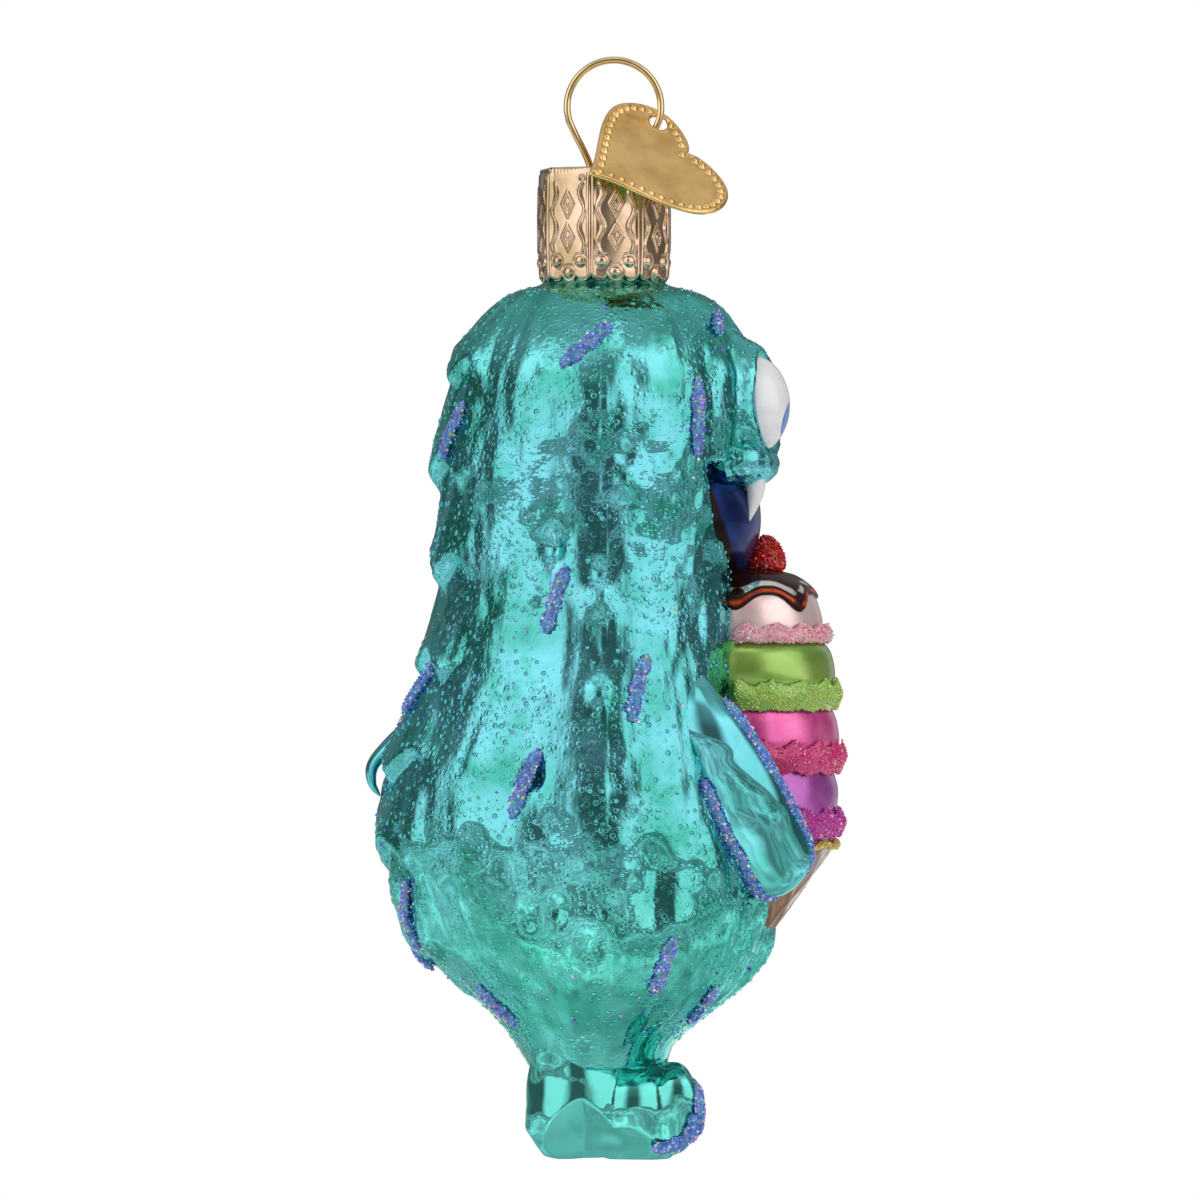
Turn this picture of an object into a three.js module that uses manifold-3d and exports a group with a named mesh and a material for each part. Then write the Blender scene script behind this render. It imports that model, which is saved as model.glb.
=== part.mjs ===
// Hanging glass ornament: a furry monster of mirrored glass holding an ice cream, with a folded metal cap,
// a bent wire hanger and a thin heart-shaped tag. Millimetres, +Z up. The figure faces +X, and the origin is
// the point at the top of the hanger's loop where the ornament hangs. Heights are measured from the soles.
import * as THREE from 'three';
import { mergeVertices } from 'three/addons/utils/BufferGeometryUtils.js';
import Module from 'manifold-3d';

// Main sizes of the bare body: height from the soles to the neck, width across and depth front to back
const bodyHeight = 86.7;
const bodyWidth = 43.0;
const bodyDepth = 39.3;

// Fits, and the least edge that a join or cut leaves
const seatGap = 0.3;
const glassWall = 1.3;
const leastEdge = 0.02;

// Fur: tiers of pointed tufts laid over the bare figure
const tuftsAround = 13;
const tierCount = 7;
const crownDrop = 11.4;
const tierPitch = 9.6;
const tuftLength = 3.4;
const tuftRise = 0.95;
const tuftRiseBehind = 0.5;
const ledgeDrop = 0.3;
const furColumns = tuftsAround * 2;
const crownRows = [0.02, 0.09, 0.21, 0.4, 0.66, 1];
const tierRows = [0, 0.6, 1];

// Drawing of the bare figure: depth behind and before the mould's parting plane, and half its width, by
// height. The glass and its glitter are shaped at the drawing's size, then stretched to the main sizes.
const figure = [
  { height: 9.0, behind: 7.6, before: 6.2, side: 10.0 },
  { height: 11.5, behind: 9.2, before: 7.4, side: 12.2 },
  { height: 14.5, behind: 11.6, before: 11.1, side: 15.4 },
  { height: 17.5, behind: 15.2, before: 14.2, side: 18.4 },
  { height: 21.5, behind: 18.6, before: 16.4, side: 20.6 },
  { height: 28.0, behind: 21.4, before: 17.3, side: 21.5 },
  { height: 36.0, behind: 22.0, before: 16.2, side: 21.4 },
  { height: 44.0, behind: 19.6, before: 14.6, side: 20.0 },
  { height: 52.0, behind: 17.1, before: 13.8, side: 18.4 },
  { height: 60.0, behind: 16.4, before: 14.0, side: 17.8 },
  { height: 68.0, behind: 16.1, before: 15.2, side: 18.0 },
  { height: 75.0, behind: 15.6, before: 15.6, side: 18.0 },
  { height: 80.0, behind: 14.2, before: 14.8, side: 16.6 },
  { height: 84.0, behind: 11.7, before: 12.5, side: 13.6 },
  { height: 86.0, behind: 9.5, before: 9.9, side: 10.2 },
  { height: 86.7, behind: 7.4, before: 7.4, side: 7.4 },
];
const drawnTop = figure.at(-1).height;
const drawnFoot = figure[0].height;
const drawnMost = (key) => Math.max(...figure.map((row) => row[key]));
const stretch = [
  bodyDepth / (drawnMost('behind') + drawnMost('before')),
  bodyWidth / (2 * drawnMost('side')),
  bodyHeight / drawnTop,
];

// Neck under the cap
const neckWall = 1.0;

// Face: the muzzle hangs from the top of the head, and the eyes, mouth and fangs are set from the muzzle
const muzzleDrop = 16.1;
const muzzleHeight = drawnTop - muzzleDrop;
const muzzle = { forward: 9.4, apart: 0, depth: 7.2, width: 10.5, tall: 4.4 };
const eye = { forward: 14.4, apart: 4.5, above: 4.3, depth: 4.1, width: 4.3, tall: 5.1 };
const mouth = { forward: 6.5, apart: 0, below: 8.0, depth: 9.2, width: 12.4, tall: 7.4 };
const fang = { forward: 13.6, apart: 6.2, root: 3.4, tip: 7.5, radius: 1.1, tipRadius: 0.15 };

// Ice cream: radius by height for the four scoops and the cone, on an upright axis before the chest
const iceAxis = 14.3;
const iceCream = [
  { height: 58.7, radius: 1.6 },
  { height: 58.0, radius: 4.4 },
  { height: 56.2, radius: 6.6 },
  { height: 53.6, radius: 7.6 },
  { height: 51.6, radius: 7.7 },
  { height: 50.2, radius: 8.5 },
  { height: 47.8, radius: 8.9 },
  { height: 45.0, radius: 8.5 },
  { height: 43.4, radius: 9.0 },
  { height: 41.2, radius: 9.2 },
  { height: 38.6, radius: 8.8 },
  { height: 36.6, radius: 9.1 },
  { height: 33.6, radius: 9.0 },
  { height: 31.6, radius: 8.7 },
  { height: 30.6, radius: 8.5 },
  { height: 22.0, radius: 2.4 },
  { height: 19.4, radius: 0.7 },
];
const iceTop = iceCream[0].height;
const sauce = { rise: 0.2, drop: 2.7, drip: 1.9, drips: 7, over: 0.45, topRadius: 1, inside: 0.4 };
const sauceTop = iceTop + sauce.rise;
const sauceEdge = iceTop - sauce.drop;
const cherry = { ahead: 1.9, rise: 1.5, radius: 1.85, coat: 0.25 };

// Frills of glitter round the lower edge of each scoop, and the line at the cone's rim, each set from a row
// of the ice cream's table
const frills = [
  { name: 'frill_glitter_1', row: 4, rise: 0.3, tall: 1.25, thick: 0.65, waves: 13 },
  { name: 'frill_glitter_2', row: 7, rise: 1.1, tall: 1.8, thick: 0.7, waves: 14 },
  { name: 'frill_glitter_3', row: 10, rise: 1.3, tall: 1.8, thick: 0.7, waves: 15 },
  { name: 'frill_glitter_4', row: 12, rise: -0.3, tall: 1.5, thick: 0.7, waves: 14 },
  { name: 'cone_rim_glitter', row: 14, rise: 0.5, tall: 0.45, thick: 0.45, waves: 14 },
];
const frillWave = 0.22;
const frillReach = 150;

// Arms: from the shoulder down and forward to a round hand beside the cone
const arm = [
  { forward: 9.6, apart: 14.6, height: 44.0, radius: 3.0 },
  { forward: 12.2, apart: 14.4, height: 39.6, radius: 3.5 },
  { forward: 15.0, apart: 12.6, height: 34.4, radius: 3.6 },
  { forward: 17.4, apart: 9.8, height: 30.0, radius: 3.4 },
  { forward: 18.7, apart: 7.8, height: 27.2, radius: 2.9 },
];
const armFlatness = 0.72;
const armSteps = 8;
const armOut = [0.25, 1, 0];
const handFrom = 0.8;
const armLines = [
  { name: 'arm_upper', turn: 70, from: 0, to: 1 },
  { name: 'arm_lower', turn: -62, from: 0.3, to: 1 },
];

// Legs, feet and toes
const leg = { forward: -2.6, apart: 5.2, radius: 4.7, flare: 0.5, top: 15.0 };
const foot = { forward: 3.2, apart: 5.2, height: 4.4, depth: 5.2, width: 4.3, tall: 5.6 };
const toes = { forward: 7.1, apart: 2.7, height: 4.7, depth: 2.3, width: 1.6, tall: 4.3, each: 3 };
const toeCurve = 0.05;
const toeLine = { from: 38, to: -42, lean: 0.25 };
const tailTuft = { root: [-20.6, 0, 41.5], tip: [-23.9, 0, 36.2], radius: 2.2, flatness: 0.7, taper: 0.85 };

// Glitter lines on the fur, from a first to a last place: bearing from the front in degrees and height
const furLines = [
  { name: 'crown', from: [87, 82.7], to: [107, 78.5] },
  { name: 'forehead', from: [25, 84.0], to: [36, 81.9] },
  { name: 'temple', from: [53, 77.3], to: [53, 69.7] },
  { name: 'nape', from: [151, 75.0], to: [159, 69.4] },
  { name: 'shoulder', from: [103, 58.8], to: [110, 52.2] },
  { name: 'flank', from: [72, 50.2], to: [79, 43.6] },
  { name: 'side', from: [108, 40.8], to: [114, 34.2] },
  { name: 'back', from: [160, 49.0], to: [166, 44.2] },
  { name: 'rump', from: [158, 27.7], to: [168, 20.6] },
  { name: 'seat', from: [146, 17.3], to: [143, 13.4] },
  { name: 'hip', from: [67, 22.4], to: [70, 16.8] },
  { name: 'groin', from: [38, 17.2], to: [33, 13.6] },
];
const lineHalfWidth = 0.85;
const lineHalfHeight = 0.75;
const lineBridge = 1.2;
const lineSway = 1.2;
const lineSteps = 4;
const lineSides = 5;
const leftDrop = -2.2;

// Cap
const capAcross = 12.84;
const capHeight = 11.6;
const capWall = 0.5;
const capChamfer = 0.5;
const foldInset = 0.1;
const foldHeight = 1.2;
const petalCount = 8;
const petalSlit = 0.35;
const lobeCount = 3;
const lobeDepth = 1.1;
const capTurn = 10.8;
const ridge = { inset: 0.85, swing: 0.3, radius: 0.2, from: 3.0, to: 9.9, waves: 2 };
const ridgeSteps = 6;
const boss = { radius: 0.5, apart: 1.3, height: 2.6, lower: 1.5, flatness: 0.6 };

// Hanger
const wireRadius = 0.35;
const loopForward = 1.0;
const loopRise = 6.2;
const loopRadius = 4.75;
const loopOpen = 30;
const legApart = 2.4;
const kinkAbove = 0.3;
const legBend = 4.0;
const legLength = 14.1;
const legHoleRadius = 0.65;
const wireSteps = 50;
const wireSides = 6;

// Tag
const tagWidth = 16.2;
const tagHeight = 14.1;
const tagThickness = 0.35;
const tagHoleRadius = 0.95;
const tagHole = [-4.7, 4.75];
const tagPlace = -20;
const tagRight = [0.537, -0.48, -0.693];
const tagUp = [0.778, 0.599, 0.188];
const tagBeadCount = 32;
const tagBeadRadius = 0.3;
const tagBeadInset = 0.75;

const wasm = await Module();
wasm.setup();

const vec = (x, y, z) => new THREE.Vector3(x, y, z);
const degrees = THREE.MathUtils.degToRad;
const mix = THREE.MathUtils.lerp;
const neckRadius = capAcross / 2 - capWall - foldInset - seatGap;
const neckBore = neckRadius - neckWall;
const capEdge = bodyHeight + seatGap;
const capTop = capEdge + capHeight;
const neckTop = capTop - capWall - seatGap;
const loopHeight = capTop + loopRise;
const hangHeight = loopHeight + loopRadius - wireRadius;

// A closed geometry as a solid.
function solid(geometry) {
  const bare = new THREE.BufferGeometry();
  bare.setAttribute('position', geometry.getAttribute('position'));
  bare.setIndex(geometry.index);
  const merged = mergeVertices(bare, 1e-4);
  const vertProperties = merged.getAttribute('position').array;
  const triVerts = new Uint32Array(merged.index.array);
  return new wasm.Manifold(new wasm.Mesh({ numProp: 3, vertProperties, triVerts, tolerance: leastEdge }));
}

// A solid as a geometry with flat-shaded faces.
function geometryOf(form) {
  const mesh = form.getMesh();
  const geometry = new THREE.BufferGeometry();
  geometry.setAttribute('position', new THREE.BufferAttribute(new Float32Array(mesh.vertProperties), 3));
  geometry.setIndex(new THREE.BufferAttribute(new Uint32Array(mesh.triVerts), 1));
  geometry.computeVertexNormals();
  return geometry;
}

const join = (forms) => forms.reduce((whole, form) => whole.add(form));
const largest = (form) => form.decompose().reduce((a, b) => (b.volume() > a.volume() ? b : a));
const bothSides = (make) => [make(-1), make(1)];

// A closed skin over rings of points, each ring with as many points as the next, with flat ends.
function loft(rings) {
  const count = rings[0].length;
  const faces = [];
  for (let ring = 0; ring < rings.length - 1; ring++) {
    for (let i = 0; i < count; i++) {
      const here = ring * count + i;
      const next = ring * count + ((i + 1) % count);
      faces.push([here, next, next + count], [here, next + count, here + count]);
    }
  }
  const end = (rings.length - 1) * count;
  for (let i = 1; i < count - 1; i++) {
    faces.push([0, i + 1, i], [end, end + i, end + i + 1]);
  }
  const points = rings.flat();
  const signedVolume = faces.reduce(
    (sum, [a, b, c]) => sum + points[a].dot(vec().crossVectors(points[b], points[c])), 0);
  const outward = signedVolume > 0 ? faces : faces.map(([a, b, c]) => [a, c, b]);
  const geometry = new THREE.BufferGeometry().setFromPoints(points);
  geometry.setIndex(outward.flat());
  return solid(geometry);
}

// Steps of a path with their own directions: along it, across it, and up from what it lies on.
function framed(path) {
  return path.map((step, i) => {
    const before = path[Math.max(i - 1, 0)].at;
    const after = path[Math.min(i + 1, path.length - 1)].at;
    const along = vec().subVectors(after, before).normalize();
    const across = vec().crossVectors(along, step.up).normalize();
    return { at: step.at, along, across, up: vec().crossVectors(across, along) };
  });
}

// An oval tube along a path, its half width and half height given by a function of the share of its length.
function ovalTube(path, sizeAt, sides) {
  const rings = framed(path).map((step, i) => {
    const { wide, high } = sizeAt(i / (path.length - 1));
    return Array.from({ length: sides }, (_, side) => {
      const turn = (side / sides) * 2 * Math.PI;
      return step.at.clone()
        .addScaledVector(step.across, wide * Math.cos(turn))
        .addScaledVector(step.up, high * Math.sin(turn));
    });
  });
  return loft(rings);
}

// A ball with its own size each way, beside the middle plane where it is one of a pair.
function ball(spec, side, grow, around, over) {
  const geometry = new THREE.SphereGeometry(1, around, over);
  geometry.rotateX(Math.PI / 2);
  geometry.scale(spec.depth + grow, spec.width + grow, spec.tall + grow);
  geometry.translate(spec.forward, side * spec.apart, spec.height);
  return solid(geometry);
}

// An upright cylinder, cone or prism between two heights.
function upright(low, high, lowRadius, highRadius, sides, forward = 0, apart = 0, turn = 0) {
  const geometry = new THREE.CylinderGeometry(highRadius, lowRadius, high - low, sides);
  geometry.rotateX(Math.PI / 2);
  geometry.rotateZ(turn);
  geometry.translate(forward, apart, (low + high) / 2);
  return solid(geometry);
}

// The value of a named column of a table at a height, on a smooth curve through its rows.
function smoothAt(table, key, height) {
  const clamped = THREE.MathUtils.clamp(height, table[0].height, table.at(-1).height);
  const found = table.findIndex((row) => row.height >= clamped);
  const i = Math.max(found, 1);
  const slope = (k) => {
    const low = table[Math.max(k - 1, 0)];
    const high = table[Math.min(k + 1, table.length - 1)];
    return (high[key] - low[key]) / (high.height - low.height);
  };
  const [a, b] = [table[i - 1], table[i]];
  const span = b.height - a.height;
  const t = (clamped - a.height) / span;
  const rise = b[key] - a[key];
  const bend = t * (1 - t) * ((1 - t) * (slope(i - 1) * span - rise) - t * (slope(i) * span - rise));
  return a[key] + rise * t + bend;
}

// Fur

// Height of a tier's lower edge: lowest at a tuft's tip. The tips of a tier lie between those of the next.
function tierEdge(tier, bearing) {
  if (tier < 0) {
    return drawnTop;
  }
  const turns = (bearing / (2 * Math.PI)) * tuftsAround + (tier % 2) / 2;
  const fromTip = 2 * Math.abs(turns - Math.round(turns));
  return drawnTop - crownDrop - tier * tierPitch + tuftLength * fromTip;
}

// How far a tuft's tip stands out: most behind, least on the face and chest.
function fullRise(bearing) {
  const backward = Math.max(0, -Math.cos(bearing));
  const face = THREE.MathUtils.smoothstep(Math.cos(bearing), 0.25, 0.85);
  return (tuftRise + tuftRiseBehind * backward) * (1 - 0.8 * face);
}

const tuftProfile = (share) => Math.pow(share, 1.5);

function skinPoint(bearing, height, rise) {
  const depth = smoothAt(figure, Math.cos(bearing) > 0 ? 'before' : 'behind', height);
  const side = smoothAt(figure, 'side', height);
  return vec((depth + rise) * Math.cos(bearing), (side + rise) * Math.sin(bearing), height);
}

// How far the tufts stand out at a place.
function furRise(bearing, height) {
  let tier = 0;
  while (tier < tierCount && height < tierEdge(tier, bearing)) {
    tier++;
  }
  if (tier === tierCount) {
    return 0;
  }
  const top = tierEdge(tier - 1, bearing);
  const share = (top - height) / (top - tierEdge(tier, bearing));
  return fullRise(bearing) * tuftProfile(share);
}

// A place on the fur for a line of glitter, high enough to bridge the ledges beside it.
function furPoint(bearing, height) {
  const rises = [-1, 0, 1].map((step) => furRise(bearing, height + step * lineBridge));
  return skinPoint(bearing, height, Math.max(...rises));
}

// The fur as a closed skin: rows of points down each tier to its pointed edge, then a ledge to the next.
function furShell(grow) {
  const bearings = Array.from({ length: furColumns }, (_, i) => (i / furColumns) * 2 * Math.PI);
  const row = (heightAt, share) => bearings.map((bearing) =>
    skinPoint(bearing, heightAt(bearing), grow + fullRise(bearing) * tuftProfile(share)));
  const lifted = (ring, lift) => ring.map((point) => point.clone().setZ(point.z + lift));
  const rings = [lifted(row(() => drawnTop, 0), grow)];
  for (let tier = 0; tier < tierCount; tier++) {
    const shares = tier === 0 ? crownRows : tierRows;
    for (const share of shares) {
      const top = (bearing) => tierEdge(tier - 1, bearing) - (tier ? ledgeDrop : 0);
      rings.push(row((bearing) => mix(top(bearing), tierEdge(tier, bearing), share), share));
    }
  }
  const lastEdge = (bearing) => tierEdge(tierCount - 1, bearing) - ledgeDrop;
  for (const share of [0, 0.35, 0.7, 1]) {
    rings.push(row((bearing) => mix(lastEdge(bearing), drawnFoot, share), 0));
  }
  rings.push(lifted(rings.at(-1), -grow));
  return loft(grow ? rings : rings.slice(0, -1));
}

// The hollow inside the figure.
function hollow() {
  const columns = 16;
  const rows = 11;
  const rings = Array.from({ length: rows + 1 }, (_, r) => {
    const height = mix(drawnFoot + glassWall, drawnTop - glassWall, Math.sin((r / rows) * Math.PI / 2));
    return Array.from({ length: columns }, (_, i) =>
      skinPoint((i / columns) * 2 * Math.PI, height, -glassWall));
  });
  return loft(rings);
}

// Face

function fangForm(side, grow) {
  const [tipRadius, rootRadius] = [fang.tipRadius + grow, fang.radius + grow];
  const [tip, root] = [muzzleHeight - fang.tip - grow, muzzleHeight - fang.root];
  return upright(tip, root, tipRadius, rootRadius, 6, fang.forward, side * fang.apart);
}

const faceForms = (grow) => [
  ...bothSides((side) => ball({ ...eye, height: muzzleHeight + eye.above }, side, grow, 12, 8)),
  ball({ ...muzzle, height: muzzleHeight }, 0, grow, 12, 8),
  ball({ ...mouth, height: muzzleHeight - mouth.below }, 0, grow, 12, 8),
  ...bothSides((side) => fangForm(side, grow)),
];

// Ice cream

const iceRadius = (height) => smoothAt([...iceCream].reverse(), 'radius', height);

function iceCreamForm(grow) {
  const profile = iceCream
    .filter(({ radius }) => radius > -2 * grow)
    .map(({ height, radius }) => new THREE.Vector2(radius + grow, height));
  const top = new THREE.Vector2(0, profile[0].y + grow);
  const bottom = new THREE.Vector2(0, profile.at(-1).y);
  const geometry = new THREE.LatheGeometry([bottom, ...profile.reverse(), top], grow < 0 ? 12 : 20);
  geometry.rotateX(Math.PI / 2);
  geometry.translate(iceAxis, 0, 0);
  return solid(geometry);
}

// Sauce over the top scoop, running down in drips.
function sauceForm(grow) {
  const columns = sauce.drips * 4;
  const rows = 4;
  const rings = Array.from({ length: rows }, (_, r) => Array.from({ length: columns }, (_, i) => {
    const bearing = (i / columns) * 2 * Math.PI;
    const run = Math.pow(Math.abs(Math.cos((bearing * sauce.drips) / 2)), 3);
    const share = Math.sin(((r + 0.5) / (rows - 0.5)) * Math.PI / 2);
    const height = mix(sauceTop, sauceEdge - sauce.drip * run, 1 - Math.cos(share * Math.PI / 2));
    const dome = iceRadius(sauceEdge) * 1.2 * share + sauce.topRadius;
    const radius = Math.min(iceRadius(height) + sauce.over, dome) + grow;
    return vec(iceAxis + radius * Math.cos(bearing), radius * Math.sin(bearing), height + grow);
  }));
  const inside = rings.at(-1).map((point) =>
    vec(mix(iceAxis, point.x, sauce.inside), point.y * sauce.inside, sauceEdge));
  return loft([...rings, inside]);
}

function cherryBall(radius) {
  const place = { forward: iceAxis + cherry.ahead, apart: 0, height: iceTop + cherry.rise };
  return ball({ ...place, depth: radius, width: radius, tall: radius }, 0, 0, 8, 6);
}

// Arms

// The arm's centre line on one side, at a share of its length, with the direction that faces outward there.
function armPath(side) {
  const points = arm.map(({ forward, apart, height }) => vec(forward, side * apart, height));
  const line = new THREE.CatmullRomCurve3(points);
  const out = vec(armOut[0], side * armOut[1], armOut[2]).normalize();
  return Array.from({ length: armSteps + 1 }, (_, i) => ({ at: line.getPoint(i / armSteps), up: out }));
}

function armRadius(share) {
  const place = share * (arm.length - 1);
  const i = Math.min(Math.floor(place), arm.length - 2);
  return mix(arm[i].radius, arm[i + 1].radius, place - i);
}

function armForm(side, grow) {
  const sizeAt = (share) => {
    const pastWrist = THREE.MathUtils.clamp((share - handFrom) / (1 - handFrom), 0, 0.95);
    const wide = armRadius(share) * Math.sqrt(1 - pastWrist * pastWrist);
    return { wide: wide + grow, high: wide * armFlatness + grow };
  };
  return ovalTube(armPath(side), sizeAt, 10);
}

// A line of glitter along the arm's rim. Turn is 0 on the outer face and 90 on the upper and front edge.
function armLinePath(side, turn, from, to) {
  const steps = framed(armPath(side));
  return steps.map((step, i) => {
    const share = i / armSteps;
    const [forward, outward] = [Math.sin(degrees(turn)), Math.cos(degrees(turn))];
    const away = step.across.clone().multiplyScalar(side * forward).addScaledVector(step.up, outward);
    const reach = armRadius(share) * Math.hypot(forward, armFlatness * outward);
    return { share, at: step.at.clone().addScaledVector(away, reach), up: away };
  }).filter(({ share }) => share >= from && share <= to);
}

// Legs and feet

function legForms(side, grow) {
  const [topRadius, lowRadius] = [leg.radius + grow, leg.radius + leg.flare + grow];
  const parts = [
    upright(-grow, leg.top, lowRadius, topRadius, 12, leg.forward, side * leg.apart),
    ball(foot, side, grow, 12, 8),
  ];
  for (let i = 0; i < toes.each; i++) {
    parts.push(toeBall(side, i, grow));
  }
  return join(parts);
}

function toeSpec(i) {
  const place = i - (toes.each - 1) / 2;
  return { ...toes, apart: leg.apart + place * toes.apart, forward: toes.forward - toeCurve * place * place };
}

const toeBall = (side, i, grow) => ball(toeSpec(i), side, grow, 8, 6);

// The hooked tuft low on the back.
function tailForm(grow) {
  const steps = 3;
  const path = Array.from({ length: steps + 1 }, (_, i) => ({
    at: vec(...tailTuft.root).lerp(vec(...tailTuft.tip), i / steps),
    up: vec(-1, 0, 0),
  }));
  const sizeAt = (share) => {
    const size = tailTuft.radius * (1 - tailTuft.taper * share * share);
    return { wide: size + grow, high: size * tailTuft.flatness + grow };
  };
  return ovalTube(path, sizeAt, 8);
}

// The whole glass form, its skin moved out by grow.
function glassForm(grow, body) {
  const groundDepth = 20;
  const ground = new THREE.BoxGeometry(4 * groundDepth, 4 * groundDepth, groundDepth);
  ground.translate(0, 0, -groundDepth / 2 - grow);
  return join([
    body,
    ...faceForms(grow),
    iceCreamForm(grow),
    sauceForm(grow),
    cherryBall(cherry.radius - cherry.coat - seatGap + grow),
    ...bothSides((side) => armForm(side, grow)),
    ...bothSides((side) => legForms(side, grow)),
    tailForm(grow),
  ]).subtract(solid(ground));
}

function glassBody() {
  const neck = upright(bodyHeight - 2, neckTop, neckRadius, neckRadius, 24);
  const bore = upright(bodyHeight - 4, neckTop + 1, neckBore, neckBore, 16);
  const outside = glassForm(0, furShell(0)).scale(stretch).add(neck);
  const inside = join([hollow(), iceCreamForm(-glassWall)]).scale(stretch).add(bore);
  return outside.subtract(inside);
}

// Glitter

// Half width and half height of a line, rounded off at both ends.
function lineSize(share) {
  const round = Math.sqrt(Math.max(0.06, 1 - Math.pow(2 * share - 1, 4)));
  return { wide: lineHalfWidth * round, high: lineHalfHeight * round };
}

// A line on the fur between two places, swaying a little, on the right side (-1) or the left side (1).
function furLinePath(line, side) {
  return Array.from({ length: lineSteps + 1 }, (_, i) => {
    const share = i / lineSteps;
    const sway = lineSway * Math.sin(share * Math.PI) * (i % 2 ? 1 : 0.5);
    const bearing = degrees(mix(line.from[0], line.to[0], share) + sway) * side;
    const height = mix(line.from[1], line.to[1], share) + (side > 0 ? leftDrop : 0);
    const at = furPoint(bearing, height);
    const around = furPoint(bearing + 0.02, height).sub(furPoint(bearing - 0.02, height));
    const down = skinPoint(bearing, height - 0.2, 0).sub(skinPoint(bearing, height + 0.2, 0));
    const up = vec().crossVectors(down, around).normalize();
    return { at: at.addScaledVector(up, seatGap), up };
  });
}

function toeLinePath(side, i) {
  const toe = toeSpec(i);
  return Array.from({ length: lineSteps + 1 }, (_, k) => {
    const tilt = degrees(mix(toeLine.from, toeLine.to, k / lineSteps));
    const up = vec(Math.cos(tilt), side * toeLine.lean * Math.cos(tilt), Math.sin(tilt)).normalize();
    const at = vec(
      toe.forward + toe.depth * Math.cos(tilt),
      side * (toe.apart + toeLine.lean * toe.width),
      toe.height + toe.tall * Math.sin(tilt));
    return { at, up };
  });
}

// A frill round a scoop's lower edge, its ends hidden in the chest.
function frillPath(frill) {
  const steps = frill.waves * 2;
  const height = iceCream[frill.row].height + frill.rise;
  return Array.from({ length: steps + 1 }, (_, i) => {
    const bearing = degrees(mix(-frillReach, frillReach, i / steps));
    const wave = (i % 2 ? 1 : -1) * frillWave;
    const up = vec(Math.cos(bearing), Math.sin(bearing), 0);
    const at = vec(iceAxis, 0, height + wave).addScaledVector(up, iceRadius(height) + seatGap + wave / 2);
    return { at, up };
  });
}

// Cap

// A geometry drawn flat, set upright on a face of the cap: right stays right, and its depth goes outward.
function onCapFace(geometry, face) {
  const turn = degrees(capTurn) - Math.PI / 2 + (face / petalCount) * 2 * Math.PI;
  const out = vec(Math.cos(turn), Math.sin(turn), 0);
  const up = vec(0, 0, 1);
  const right = vec().crossVectors(up, out);
  const place = new THREE.Matrix4().makeBasis(right, up, out);
  place.setPosition(out.clone().multiplyScalar(capAcross / 2 - capWall));
  return geometry.clone().applyMatrix4(place);
}

// One petal, drawn flat: straight sides, three lobes along the lower edge, two wavy ridges and three bosses.
function petal() {
  const width = capAcross * Math.tan(Math.PI / petalCount) - petalSlit;
  const outline = new THREE.Shape();
  outline.moveTo(width / 2, capTop - foldHeight / 2);
  outline.lineTo(-width / 2, capTop - foldHeight / 2);
  const steps = lobeCount * 4;
  for (let i = 0; i <= steps; i++) {
    const share = i / steps;
    const lobe = Math.abs(Math.sin(share * lobeCount * Math.PI));
    const centre = 1 - 0.45 * Math.abs(2 * share - 1);
    outline.lineTo(mix(-width / 2, width / 2, share), capEdge + lobeDepth * (1 - lobe * centre));
  }
  const plate = solid(new THREE.ExtrudeGeometry(outline, { depth: capWall, bevelEnabled: false }));
  const section = new THREE.Shape();
  section.absarc(0, 0, ridge.radius, 0, 2 * Math.PI);
  const ridges = bothSides((side) => {
    const points = Array.from({ length: ridgeSteps + 1 }, (_, i) => {
      const share = i / ridgeSteps;
      const swing = ridge.swing * Math.sin(share * ridge.waves * 2 * Math.PI);
      const across = width / 2 - ridge.inset + swing;
      return vec(side * across, capEdge + mix(ridge.from, ridge.to, share), capWall);
    });
    const extrudePath = new THREE.CatmullRomCurve3(points);
    return solid(new THREE.ExtrudeGeometry(section, { steps: ridgeSteps, extrudePath, curveSegments: 2 }));
  });
  const bosses = [[-boss.apart, boss.height], [boss.apart, boss.height], [0, boss.lower]].map(([x, y]) => {
    const dome = new THREE.SphereGeometry(boss.radius, 6, 4);
    dome.rotateX(Math.PI / 2);
    dome.scale(1, 1, boss.flatness);
    dome.translate(x, capEdge + y, capWall);
    return solid(dome);
  });
  return geometryOf(join([plate, ...ridges, ...bosses]));
}

function crownCap() {
  const corner = 1 / Math.cos(Math.PI / petalCount);
  const outer = (capAcross / 2 - foldInset) * corner;
  const turn = degrees(capTurn) + Math.PI / petalCount;
  const inner = outer - capWall * corner;
  const prism = (low, high, lowRadius, highRadius) =>
    upright(low, high, lowRadius, highRadius, petalCount, 0, 0, turn);
  const roof = prism(capTop - foldHeight, capTop - capChamfer, outer, outer)
    .add(prism(capTop - capChamfer, capTop, outer, outer - capChamfer))
    .subtract(prism(capTop - foldHeight - 1, capTop - capWall, inner, inner));
  const flat = petal();
  const petalForms = Array.from({ length: petalCount }, (_, face) => solid(onCapFace(flat, face)));
  const holes = bothSides((side) =>
    upright(capTop - 2, capTop + 1, legHoleRadius, legHoleRadius, 12, loopForward + side * legApart));
  return join([roof, ...petalForms]).subtract(join(holes));
}

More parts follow.
